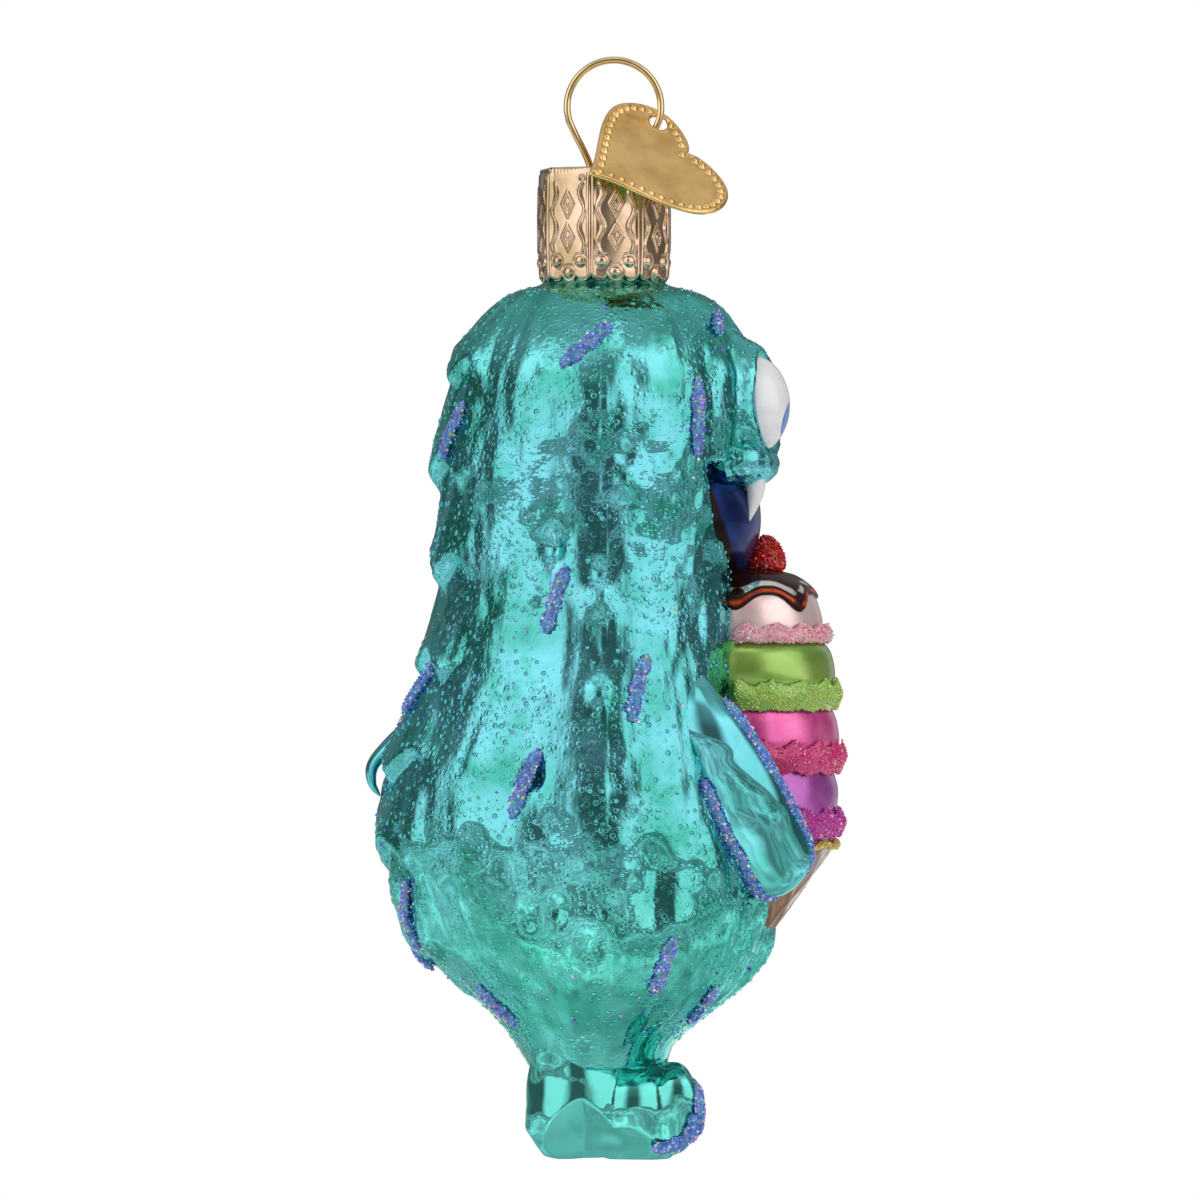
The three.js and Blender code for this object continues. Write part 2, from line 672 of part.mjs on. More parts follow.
// Hanger: a round loop whose two legs go through the cap and spread inside the neck.
function hangerWire() {
  const reach = neckBore - seatGap - wireRadius;
  const points = [
    vec(-reach, 0, capTop - legLength),
    vec(loopForward - legApart, 0, capTop - legBend),
    vec(loopForward - legApart, 0, capTop - legBend / 2),
    vec(loopForward - legApart, 0, capTop + kinkAbove),
  ];
  const arcSteps = 16;
  for (let i = 0; i <= arcSteps; i++) {
    const turn = degrees(mix(180 + loopOpen, -loopOpen, i / arcSteps));
    points.push(vec(loopForward + loopRadius * Math.cos(turn), 0, loopHeight + loopRadius * Math.sin(turn)));
  }
  points.push(
    vec(loopForward + legApart, 0, capTop + kinkAbove),
    vec(loopForward + legApart, 0, capTop - legBend / 2),
    vec(loopForward + legApart, 0, capTop - legBend),
    vec(reach, 0, capTop - legLength),
  );
  const section = new THREE.Shape();
  section.absarc(0, 0, wireRadius, 0, 2 * Math.PI);
  const extrudePath = new THREE.CatmullRomCurve3(points, false, 'centripetal');
  const curveSegments = wireSides / 2;
  return solid(new THREE.ExtrudeGeometry(section, { steps: wireSteps, extrudePath, curveSegments }));
}

// Tag: a thin heart with a row of embossed beads round its edge, threaded on the loop.
function heartOutline() {
  const half = tagWidth / 2;
  const top = tagHeight * 0.465;
  const notch = tagHeight * 0.37;
  const widest = tagHeight * 0.17;
  const point = top - tagHeight;
  const heart = new THREE.Shape();
  heart.moveTo(0, notch);
  heart.bezierCurveTo(-half * 0.08, mix(notch, top, 0.7), -half * 0.3, top, -half * 0.5, top);
  heart.bezierCurveTo(-half * 0.8, top, -half, mix(widest, top, 0.58), -half, widest);
  heart.bezierCurveTo(-half, widest - tagHeight * 0.26, -half * 0.32, point * 0.52, 0, point);
  heart.bezierCurveTo(half * 0.32, point * 0.52, half, widest - tagHeight * 0.26, half, widest);
  heart.bezierCurveTo(half, mix(widest, top, 0.58), half * 0.8, top, half * 0.5, top);
  heart.bezierCurveTo(half * 0.3, top, half * 0.08, mix(notch, top, 0.7), 0, notch);
  return heart;
}

function heartTag() {
  const outline = heartOutline();
  const edge = outline.getSpacedPoints(tagBeadCount);
  const sheet = { depth: tagThickness, bevelEnabled: false, curveSegments: 6 };
  const plate = new THREE.ExtrudeGeometry(outline, sheet);
  const beads = edge.slice(0, tagBeadCount).map((point, i) => {
    const next = edge[(i + 1) % tagBeadCount];
    const before = edge[(i + tagBeadCount - 1) % tagBeadCount];
    const inward = new THREE.Vector2(before.y - next.y, next.x - before.x).normalize();
    const place = point.clone().addScaledVector(inward, tagBeadInset);
    const bead = new THREE.SphereGeometry(tagBeadRadius, 5, 2);
    bead.rotateX(Math.PI / 2);
    bead.translate(place.x, place.y, tagThickness);
    return solid(bead);
  });
  const hole = upright(-1, tagThickness + 1, tagHoleRadius, tagHoleRadius, 12, tagHole[0], tagHole[1]);
  const flat = geometryOf(join([solid(plate), ...beads]).subtract(hole));
  flat.translate(-tagHole[0], -tagHole[1], -tagThickness / 2);
  const right = vec(...tagRight).normalize();
  const face = vec().crossVectors(right, vec(...tagUp)).normalize();
  const up = vec().crossVectors(face, right);
  const place = new THREE.Matrix4().makeBasis(right, up, face);
  const turn = degrees(tagPlace);
  place.setPosition(loopForward + loopRadius * Math.cos(turn), 0, loopHeight + loopRadius * Math.sin(turn));
  return solid(flat.applyMatrix4(place));
}

// Scene

const look = (color, roughness, metalness) => new THREE.MeshStandardMaterial({ color, roughness, metalness });
const looks = {
  glass: look('#4fb3ad', 0.08, 0.6),
  brass: look('#c9a07c', 0.22, 0.95),
  wire: look('#c9a45c', 0.25, 0.95),
  tag: look('#c49a4e', 0.35, 0.9),
  violet: look('#4b4fb0', 0.6, 0.3),
  rose: look('#d98aa4', 0.6, 0.3),
  lime: look('#8fb84a', 0.6, 0.3),
  pink: look('#d6336c', 0.6, 0.3),
  magenta: look('#b32d84', 0.6, 0.3),
  gold: look('#b99a3a', 0.6, 0.4),
  red: look('#b3202a', 0.6, 0.3),
};

const ornament = new THREE.Group();
ornament.name = 'glass_monster_ornament';
const standing = new THREE.Group();
standing.position.set(-loopForward, 0, -hangHeight);
ornament.add(standing);

function addPiece(name, form, material) {
  const mesh = new THREE.Mesh(geometryOf(form), material);
  mesh.name = name;
  standing.add(mesh);
}

addPiece('glass_body', glassBody(), looks.glass);
addPiece('crown_cap', crownCap(), looks.brass);
addPiece('hanger_wire', hangerWire(), looks.wire);
addPiece('heart_tag', heartTag(), looks.tag);

const seat = glassForm(seatGap, furShell(seatGap));
const addSeated = (name, form, material) =>
  addPiece(name, largest(form.subtract(seat)).scale(stretch), material);
const addLine = (name, side, path) =>
  addSeated(`${name}_${side < 0 ? 'right' : 'left'}`, ovalTube(path, lineSize, lineSides), looks.violet);

for (const side of [-1, 1]) {
  for (const line of furLines) {
    addLine(`${line.name}_glitter`, side, furLinePath(line, side));
  }
  for (const line of armLines) {
    addLine(`${line.name}_glitter`, side, armLinePath(side, line.turn, line.from, line.to));
  }
  for (let i = 0; i < toes.each; i++) {
    addLine(`toe_glitter_${i + 1}`, side, toeLinePath(side, i));
  }
}

const frillLooks = [looks.rose, looks.lime, looks.pink, looks.magenta, looks.gold];
frills.forEach((frill, i) => {
  const form = ovalTube(frillPath(frill), () => ({ wide: frill.tall, high: frill.thick }), 4);
  addSeated(frill.name, form, frillLooks[i]);
});
addSeated('cherry_glitter', cherryBall(cherry.radius), looks.red);

export default ornament;
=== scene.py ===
# %% [markdown]
# # A furry glass monster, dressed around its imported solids
#
# The real ornament is one bubble of glass, blown into a mould, silvered inside, lacquered teal and painted
# with enamel. A folded metal cap with a wire loop and a thin heart tag sits on its neck, and lines of glitter
# are glued on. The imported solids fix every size. This lesson replaces their plain surfaces by fine ones.

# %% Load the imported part
import bmesh
import bpy
import math
import numpy as np
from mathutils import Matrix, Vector, geometry, noise


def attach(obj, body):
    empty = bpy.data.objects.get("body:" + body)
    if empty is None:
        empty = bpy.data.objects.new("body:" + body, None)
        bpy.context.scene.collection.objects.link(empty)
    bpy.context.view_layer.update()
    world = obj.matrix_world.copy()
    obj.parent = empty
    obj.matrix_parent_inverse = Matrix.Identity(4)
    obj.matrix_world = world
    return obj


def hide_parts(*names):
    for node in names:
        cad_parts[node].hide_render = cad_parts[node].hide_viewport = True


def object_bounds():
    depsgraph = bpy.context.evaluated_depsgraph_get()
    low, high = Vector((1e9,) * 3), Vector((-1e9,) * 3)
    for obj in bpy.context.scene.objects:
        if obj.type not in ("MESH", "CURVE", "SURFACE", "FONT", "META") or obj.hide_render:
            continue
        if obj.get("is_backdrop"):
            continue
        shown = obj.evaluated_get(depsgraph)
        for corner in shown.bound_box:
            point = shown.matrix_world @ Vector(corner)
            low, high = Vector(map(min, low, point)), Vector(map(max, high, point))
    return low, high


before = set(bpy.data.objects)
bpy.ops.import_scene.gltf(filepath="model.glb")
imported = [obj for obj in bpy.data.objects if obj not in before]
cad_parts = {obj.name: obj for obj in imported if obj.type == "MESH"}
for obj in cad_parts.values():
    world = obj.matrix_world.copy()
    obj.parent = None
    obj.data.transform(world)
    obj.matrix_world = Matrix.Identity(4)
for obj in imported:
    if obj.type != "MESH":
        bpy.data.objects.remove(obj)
cad_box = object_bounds()

# %% [markdown]
# ## Sizes in one place
#
# The figure is measured in millimetres: X forward from the mould's parting plane, Y to the figure's left and
# heights up from the soles. Blender works in metres from the top of the hanger's loop. Every number could be
# typed in metres, but a sculptor thinks in millimetres from the soles, so small functions do the change.

# %% From figure millimetres to metres
loop_forward = 1.0
hang_height = 109.2
sides = {"right": -1, "left": 1}


def in_row(points):
    """Points of the figure, in millimetres, as places in the part's own frame, in metres."""
    return (np.asarray(points, float) - np.array([loop_forward, 0.0, hang_height])) / 1000


def level_at(height):
    """The frame's Z of a height above the soles."""
    return (height - hang_height) / 1000


def forward_at(forward):
    """The frame's X of a place so far before the mould's parting plane."""
    return (forward - loop_forward) / 1000


def mirrored_to(side, points):
    """Points of the left half, moved to the side that is asked for."""
    return points * np.array([1, side, 1])


print("the soles are at", level_at(0), "m")

# %% [markdown]
# ## Camera
#
# The photograph is a level view of the figure's right side. Its soles show hardly any underside, so the
# camera stood well back with a long lens. A flat, orthographic camera would come close, but it would lose the
# slight narrowing at the far side, so the lens follows from the distance and from the width of the view.

# %% Camera at the photograph's place
photo_distance, view_width, photo_centre = 900.0, 120.0, (-0.4, 55.5)
camera_data = bpy.data.cameras.new("camera")
camera_data.sensor_width = 36
camera_data.lens = camera_data.sensor_width * photo_distance / view_width
camera_data.clip_start = 0.01
camera = bpy.data.objects.new("camera", camera_data)
camera.location = in_row([photo_centre[0], -photo_distance, photo_centre[1]])
camera.rotation_euler = (math.radians(90), 0, 0)
bpy.context.scene.collection.objects.link(camera)
bpy.context.scene.camera = camera
bpy.context.scene.view_settings.view_transform = "Standard"
print("camera at", [round(v, 4) for v in camera.location])

# %% [markdown]
# ## Node trees by hand
#
# Materials, the world and Geometry Nodes are all trees. They can be drawn by hand in Blender's editors, but a
# script is easier to change. So a few helpers each add one node, set its options and fill its inputs.

# %% Helpers for every node tree
def fill(tree, node, inputs):
    """Fills a node's inputs, each with a value or with a link from another node's output."""
    for key, value in inputs.items():
        if isinstance(value, bpy.types.NodeSocket):
            tree.links.new(value, node.inputs[key])
        else:
            node.inputs[key].default_value = value


def add(tree, kind, inputs=None, **options):
    """A new node; its options are set first, because they decide which inputs it has."""
    made = tree.nodes.new(kind)
    for name, value in options.items():
        setattr(made, name, value)
    fill(tree, made, inputs or {})
    return made


def math_node(tree, operation, *values, clamp=False):
    inputs = dict(enumerate(values))
    return add(tree, "ShaderNodeMath", inputs, operation=operation, use_clamp=clamp).outputs[0]


def times(tree, a, b):
    return math_node(tree, "MULTIPLY", a, b)


def plus(tree, a, b):
    return math_node(tree, "ADD", a, b)


def mapped(tree, value, low, high, to_low=0.0, to_high=1.0, **options):
    """A value moved from one range to another, and kept inside the new one."""
    inputs = {0: value, 1: low, 2: high, 3: to_low, 4: to_high}
    return add(tree, "ShaderNodeMapRange", inputs, **options).outputs[0]


print("helpers for numbers ready")

# %% Colours and noise in a tree
def opaque(colour):
    """Three numbers, or one level of grey, as a colour with its alpha of 1; a link stays a link."""
    if isinstance(colour, bpy.types.NodeSocket):
        return colour
    return (*colour, 1) if isinstance(colour, tuple) else (colour, colour, colour, 1)


def mix_colours(tree, factor, a, b):
    inputs = {0: factor, 6: opaque(a), 7: opaque(b)}
    return add(tree, "ShaderNodeMix", inputs, data_type="RGBA").outputs[2]


def ramp(tree, factor, stops, interpolation="LINEAR"):
    """A colour ramp through stops, each a position with a colour or a level of grey."""
    made = add(tree, "ShaderNodeValToRGB", {0: factor})
    made.color_ramp.interpolation = interpolation
    elements = made.color_ramp.elements
    while len(elements) < len(stops):
        elements.new(0.5)
    for element, (position, colour) in zip(elements, stops):
        element.position = position
        element.color = opaque(colour)
    return made.outputs[0]


def clouds(tree, place, scale, detail=2.0, **more):
    """Noise of so many cells in a metre; without a place it runs over the surface's own box."""
    inputs = {"Scale": scale, "Detail": detail, **more}
    if place is not None:
        inputs["Vector"] = place
    return add(tree, "ShaderNodeTexNoise", inputs).outputs[0]


print("a grey of one half, as a colour:", opaque(0.5))

# %% New materials, and materials that are painted over
def new_paint(name):
    """A new material, with its tree and its shader."""
    material = bpy.data.materials.new(name)
    material.use_nodes = True
    tree = material.node_tree
    return material, tree, tree.nodes["Principled BSDF"]


def reopened(material):
    """A finished material again, to paint over: its tree, its shader and the colour that it has so far."""
    tree = material.node_tree
    shader = tree.nodes["Principled BSDF"]
    return tree, shader, shader.inputs["Base Color"].links[0].from_socket


def own_place(tree):
    """Where a point lies on the piece itself, so that a pattern moves with the piece."""
    return add(tree, "ShaderNodeTexCoord").outputs["Object"]


print("helpers for materials ready")

# %% [markdown]
# ## Light
#
# A mirror shows the room, so the room is the look. Two tall soft boxes stand left and right of the camera,
# and make the broad pale patches on each flank. Between them, round the camera, the room is dim, which gives
# the dark band down the middle. Lamps alone could do it, but a lamp's own reflection has edges too hard. So
# each box is made twice: a lamp, unseen by mirrors, lights the enamel and the glitter, and a patch of the
# world with soft edges is what the mirror shows.

# %% Soft boxes
def soft_box(name, bearing, height, width, tall, radiance, distance=520.0):
    """A rectangular lamp that faces the figure; bearing is in degrees from the camera's side."""
    light = bpy.data.lights.new(name, "AREA")
    light.shape = "RECTANGLE"
    light.size = width / 1000
    light.size_y = tall / 1000
    light.energy = radiance * math.pi * light.size * light.size_y
    lamp = bpy.data.objects.new(name, light)
    turn = math.radians(bearing)
    aim = np.array([0.0, 0.0, 52.0])
    place = aim + np.array([distance * math.sin(turn), -distance * math.cos(turn), height])
    lamp.location = in_row(place)
    lamp.rotation_euler = Vector(in_row(aim) - in_row(place)).to_track_quat("-Z", "Y").to_euler()
    lamp.visible_camera = False
    lamp.visible_glossy = False
    bpy.context.scene.collection.objects.link(lamp)
    return lamp


lamps = [
    soft_box("box_left", -58, 110, 560, 620, 1.25),
    soft_box("box_right", 54, 110, 560, 620, 1.2),
    soft_box("box_back_left", -140, 120, 260, 520, 0.35),
    soft_box("box_back_right", 140, 120, 260, 520, 0.35),
    soft_box("box_top", 0, 620, 260, 260, 1.0, distance=60.0),
]
print(len(lamps), "soft boxes")

# %% The room that the mirror shows
world = bpy.data.worlds.new("studio")
bpy.context.scene.world = world
world.use_nodes = True
sky = world.node_tree
sky.nodes.clear()
ahead, back, up = add(sky, "ShaderNodeSeparateXYZ",
                      {0: add(sky, "ShaderNodeTexCoord").outputs["Generated"]}).outputs
behind = mapped(sky, back, 0.1, 0.75, 0.17, 0.16, interpolation_type="SMOOTHSTEP")
above = mapped(sky, up, 0.3, 0.9, 0.0, 0.42)
bearing = math_node(sky, "ARCTAN2", ahead, times(sky, back, -1.0))
studio = plus(sky, behind, above)


def soft_edge(value, outside, inside):
    """1 inside and 0 outside, with a soft change between the two."""
    return mapped(sky, value, outside, inside, interpolation_type="SMOOTHSTEP")


def soft_patch(centre, half_width, low, high, strength, blur=9.0):
    """A box as the mirror sees it: its bearing, half width, lowest and highest direction, all in degrees."""
    aside = math_node(sky, "ABSOLUTE", math_node(sky, "SUBTRACT", bearing, math.radians(centre)))
    wide = soft_edge(aside, math.radians(half_width + blur), math.radians(half_width - blur))
    rise = soft_edge(up, math.sin(math.radians(low - blur)), math.sin(math.radians(low + blur)))
    fall = soft_edge(up, math.sin(math.radians(high + blur)), math.sin(math.radians(high - blur)))
    return times(sky, times(sky, wide, times(sky, rise, fall)), strength)


soft_patches = [(-58, 31, -22, 52, 1.26, 13.0), (54, 31, -22, 52, 1.28, 13.0), (-150, 12, -20, 50, 0.10),
                (150, 12, -20, 50, 0.25), (0, 26, 56, 88, 0.85)]
for patch in soft_patches:
    studio = plus(sky, studio, soft_patch(*patch))
print(len(soft_patches), "soft patches")

# %% World: the room for mirrors, an even light for the rest, white for the camera
diffuse_level = 0.62
rays = add(sky, "ShaderNodeLightPath").outputs
mirrored = math_node(sky, "MAXIMUM", rays["Is Glossy Ray"], rays["Is Transmission Ray"])
level = add(sky, "ShaderNodeMix", {0: mirrored, 2: diffuse_level, 3: studio}).outputs[0]
level = add(sky, "ShaderNodeMix", {0: rays["Is Camera Ray"], 2: level, 3: 1.0}).outputs[0]
background = add(sky, "ShaderNodeBackground", {0: opaque(1), 1: level})
add(sky, "ShaderNodeOutputWorld", {0: background.outputs[0]})
print("world ready")

# %% [markdown]
# ## Floor
#
# The ornament hangs, and the floor lies a little below its soles. A shadow catcher would lose the light that
# the paper throws up, so the floor is a real sheet. It takes the shadow close to the figure, and further away
# it shows the camera the same white as the backdrop. Mirrors see it glow with painted light instead: a painted
# shadow under the figure, a bright ring round it, and creases and dapples of painted light and shade, so that
# the low belly reflects an uneven table, as the real ornament's does.

# %% Sheet of paper
floor_height, floor_half = -22.0, 1.5
floor_level = level_at(floor_height)
corners = [(x, y, floor_level) for x, y in ((-1, -1), (1, -1), (1, 1), (-1, 1))]
corners = [(x * floor_half, y * floor_half, z) for x, y, z in corners]
floor_mesh = bpy.data.meshes.new("floor")
floor_mesh.from_pydata(corners, [], [(0, 1, 2, 3)])
floor = bpy.data.objects.new("floor", floor_mesh)
bpy.context.scene.collection.objects.link(floor)
print("floor at", round(floor_level, 4), "m")

# %% Paper for each kind of ray
floor_paint = bpy.data.materials.new("floor_paper")
floor_paint.use_nodes = True
tree = floor_paint.node_tree
tree.nodes.clear()
rays = add(tree, "ShaderNodeLightPath").outputs
from_middle = {0: own_place(tree), 1: (0, 0, floor_level)}
away = add(tree, "ShaderNodeVectorMath", from_middle, operation="DISTANCE").outputs["Value"]
fold = clouds(tree, None, 22.0)
# The matt paper is darker in broad creases, which is painted crease shade, and has a fine grain of its own.
shade = mix_colours(tree, ramp(tree, fold, [(0.40, 0), (0.58, 1)]), 0.50, 0.84)
shade = mix_colours(tree, times(tree, clouds(tree, None, 900.0, 3.0), 0.15), shade, 0.70)
matt = add(tree, "ShaderNodeBsdfDiffuse", {0: shade}).outputs[0]
# For mirrors the paper glows, which is painted light: dimmer in the middle under the figure as a painted
# shadow, brightest in a ring round it, and creased and dappled with painted light and shade.
rings = ramp(tree, times(tree, away, 2.5), [(0.0, 0.70), (0.14, 1.22), (0.60, 1.05), (1.0, 0.60)])
crease_light_and_shade = mapped(tree, fold, 0.40, 0.60, 0.55, 1.20)
dapples_of_light = mapped(tree, clouds(tree, None, 75.0, Distortion=0.8), 0.40, 0.60, 0.62, 1.22)
paper_glow_for_mirrors = add(tree, "ShaderNodeEmission", {0: rings, 1: times(tree, crease_light_and_shade, dapples_of_light)}).outputs[0]
near = add(tree, "ShaderNodeMixShader", {0: rays["Is Glossy Ray"], 1: matt, 2: paper_glow_for_mirrors}).outputs[0]
white = add(tree, "ShaderNodeEmission", {0: opaque(1), 1: 1.0}).outputs[0]
seen_far = times(tree, mapped(tree, away, 0.05, 0.11), rays["Is Camera Ray"])
sheet = add(tree, "ShaderNodeMixShader", {0: seen_far, 1: near, 2: white}).outputs[0]
add(tree, "ShaderNodeOutputMaterial", {0: sheet})
floor_mesh.materials.append(floor_paint)
floor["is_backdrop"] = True
print("paper with", len(tree.nodes), "nodes")

# %% [markdown]
# ## Skins from rings
#
# Nearly every form here is a stack of rings, as a potter or glass blower would see it. Sculpting or metaballs
# would be freer, but rings keep to the imported sizes. One function turns an array of rings into a closed mesh
# with its faces outward, and another dresses it: a material, a body to ride on and the imported solids it
# hides.

# %% From rings to a mesh
def outward(points, faces):
    """The faces as they are, or turned over if the closed skin is inside out."""
    triangles = [(f[0], f[i], f[i + 1]) for f in faces for i in range(1, len(f) - 1)]
    a, b, c = (points[[t[k] for t in triangles]] for k in range(3))
    if np.einsum("ij,ij->i", a, np.cross(b, c)).sum() < 0:
        return [tuple(reversed(f)) for f in faces]
    return faces


def object_from(name, points, faces):
    mesh = bpy.data.meshes.new(name)
    mesh.from_pydata([tuple(p) for p in points], [], faces)
    mesh.validate()
    mesh.polygons.foreach_set("use_smooth", [True] * len(mesh.polygons))
    made = bpy.data.objects.new(name, mesh)
    bpy.context.scene.collection.objects.link(made)
    return made


def ring_faces(rows, columns):
    """Four-sided faces between each ring and the next."""
    faces = []
    for row in range(rows - 1):
        for column in range(columns):
            here = row * columns + column
            beside = row * columns + (column + 1) % columns
            faces.append((here, beside, beside + columns, here + columns))
    return faces


def closed_skin(rings, start=0):
    """Points and faces of a skin over an array of rings, each end closed by a fan to its middle."""
    rows, columns, _ = rings.shape
    points = np.concatenate([rings.reshape(-1, 3), rings[0].mean(0)[None], rings[-1].mean(0)[None]])
    faces = ring_faces(rows, columns)
    low, high, last = rows * columns, rows * columns + 1, (rows - 1) * columns
    for column in range(columns):
        beside = (column + 1) % columns
        faces.append((low, beside, column))
        faces.append((high, last + column, last + beside))
    return points, [tuple(i + start for i in f) for f in outward(points, faces)]


def skin_object(name, *ring_sets):
    """One object of one or more closed skins, given in figure millimetres."""
    points, faces = [], []
    for rings in ring_sets:
        new_points, new_faces = closed_skin(np.asarray(rings, float), sum(len(p) for p in points))
        points.append(new_points)
        faces += new_faces
    return object_from(name, in_row(np.concatenate(points)), faces)


def dress(piece, material, body="glass", stands_for=()):
    """Gives a piece its material, its body, and the plain solids that it stands for."""
    piece.data.materials.clear()
    piece.data.materials.append(material)
    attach(piece, body)
    if stands_for:
        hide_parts(*stands_for)
    print(piece.name, len(piece.data.polygons), "faces")
    return piece


print(len(ring_faces(3, 8)), "faces between three rings of eight points")

# %% Smooth steps, tables and noise
def smooth_step(value, low, high):
    share = np.clip((value - low) / (high - low), 0, 1)
    return share * share * (3 - 2 * share)


def bump_at(distance, width):
    """A soft round bump, 1 in its middle."""
    return np.exp(-(distance / width) ** 2)


def through(table, column, height):
    """A column of a table read at any height, on a smooth curve through its rows."""
    table = np.asarray(table, float)
    rows, values = table[:, 0], table[:, column]
    slopes = np.empty(len(rows))
    slopes[1:-1] = (values[2:] - values[:-2]) / (rows[2:] - rows[:-2])
    slopes[0] = (values[1] - values[0]) / (rows[1] - rows[0])
    slopes[-1] = (values[-1] - values[-2]) / (rows[-1] - rows[-2])
    height = np.clip(height, rows[0], rows[-1])
    i = np.clip(np.searchsorted(rows, height, side="left"), 1, len(rows) - 1)
    span, rise = rows[i] - rows[i - 1], values[i] - values[i - 1]
    t = (height - rows[i - 1]) / span
    bend = t * (1 - t) * ((1 - t) * (slopes[i - 1] * span - rise) - t * (slopes[i] * span - rise))
    return values[i - 1] + rise * t + bend


def lattice_noise(u, v, around, seed):
    """Soft random hills, repeating once round the figure: u in turns, v in cells up."""
    rows = 64
    values = np.random.default_rng(seed).uniform(-1, 1, (rows, around))
    a, b = u * around, v
    left, below = np.floor(a).astype(int), np.floor(b).astype(int)
    across, up = smooth_step(a - left, 0, 1), smooth_step(b - below, 0, 1)

    def row_of_hills(row):
        row, near, far = np.mod(row, rows), np.mod(left, around), np.mod(left + 1, around)
        return values[row, near] * (1 - across) + values[row, far] * across

    return row_of_hills(below) * (1 - up) + row_of_hills(below + 1) * up


print("a quarter of the way, a smooth step is at", smooth_step(0.25, 0, 1))

# %% Lines, tubes and level rings
def spline(points, count):
    """A smooth line of so many points through a few given ones, ends included."""
    points = np.asarray(points, float)
    padded = np.vstack([2 * points[0] - points[1], points, 2 * points[-1] - points[-2]])
    where = np.linspace(0, len(points) - 1, count)
    i = np.minimum(where.astype(int), len(points) - 2)
    t = (where - i)[:, None]
    p0, p1, p2, p3 = (padded[i + k] for k in range(4))
    return 0.5 * (2 * p1 + (p2 - p0) * t + (2 * p0 - 5 * p1 + 4 * p2 - p3) * t ** 2
                  + (3 * p1 - p0 - 3 * p2 + p3) * t ** 3)


def turns_of(count):
    """Angles of so many places round a ring."""
    return np.arange(count) / count * 2 * np.pi


def tube_rings(path, ups, wide, high, columns):
    """Rings of an oval tube along a path; ups are the directions away from what it lies on."""
    path, ups = np.asarray(path, float), np.broadcast_to(np.asarray(ups, float), np.shape(path))
    along = np.gradient(path, axis=0)
    along /= np.linalg.norm(along, axis=1)[:, None]
    across = np.cross(along, ups)
    across /= np.linalg.norm(across, axis=1)[:, None]
    up = np.cross(across, along)
    turn = turns_of(columns)
    wide, high = np.broadcast_to(wide, len(path)), np.broadcast_to(high, len(path))
    return (path[:, None] + across[:, None] * (wide[:, None] * np.cos(turn))[..., None]
            + up[:, None] * (high[:, None] * np.sin(turn))[..., None])


def level_ring(centre, radius, level, columns):
    """A level ring round an upright line; its radius and its level may change round it."""
    turn = turns_of(columns)
    return np.stack([centre + radius * np.cos(turn), radius * np.sin(turn), level + 0 * turn], axis=-1)


def turned_rings(profile, columns, centre=0.0):
    """Rings of a turned form, from its heights and radii."""
    return np.array([level_ring(centre, radius, level, columns) for level, radius in profile])


print("tools for skins ready")

# %% [markdown]
# ## The finish of the glass
#
# Silvered glass under a tinted lacquer is a coloured mirror: a metallic surface with a clear coat. The pale
# and dark patches could be painted on, but painted ones would stay put while the view turns. So nothing is
# painted light or dark, and the patches are reflections. The lacquer is bluer in the middle and greener low
# down and near the cap, with faint stains, and duller where the cap covers it. The fur holds thousands of
# tiny bubbles that each catch a ring of light: small domes from a Voronoi texture, used as height for a bump.

# %% Parts of the teal mirror
teal_blue, teal_green, teal_stain = (0.144, 0.540, 0.612), (0.115, 0.560, 0.500), (0.030, 0.360, 0.265)
green_belly, green_crown, dull_neck = (38.2, 20.2), (73.2, 85.2), (86.2, 87.3)
lacquer = {"Metallic": 1.0, "Specular Tint": opaque((0.45, 0.90, 0.90)), "Coat Weight": 0.28,
           "Coat Roughness": 0.03, "Coat IOR": 1.5}


def between(tree, level, heights, most=1.0):
    """A level as a share of the way from one height above the soles to another."""
    return mapped(tree, level, level_at(heights[0]), level_at(heights[1]), 0.0, most)


def bubble_height(tree, place, per_metre, radius):
    """Height of small round domes: one in each cell of a Voronoi pattern, 1 at its top and 0 beside it."""
    cells = add(tree, "ShaderNodeTexVoronoi", {"Vector": place, "Scale": per_metre, "Randomness": 1.0})
    away = math_node(tree, "DIVIDE", cells.outputs["Distance"], radius)
    return math_node(tree, "SQRT", math_node(tree, "SUBTRACT", 1.0, times(tree, away, away), clamp=True))


def bump(tree, height, millimetres, strength=1.0):
    inputs = {"Height": height, "Distance": millimetres / 1000, "Strength": strength}
    return add(tree, "ShaderNodeBump", inputs).outputs[0]


print("the lacquer turns green below", green_belly[0], "mm and above", green_crown[0], "mm")

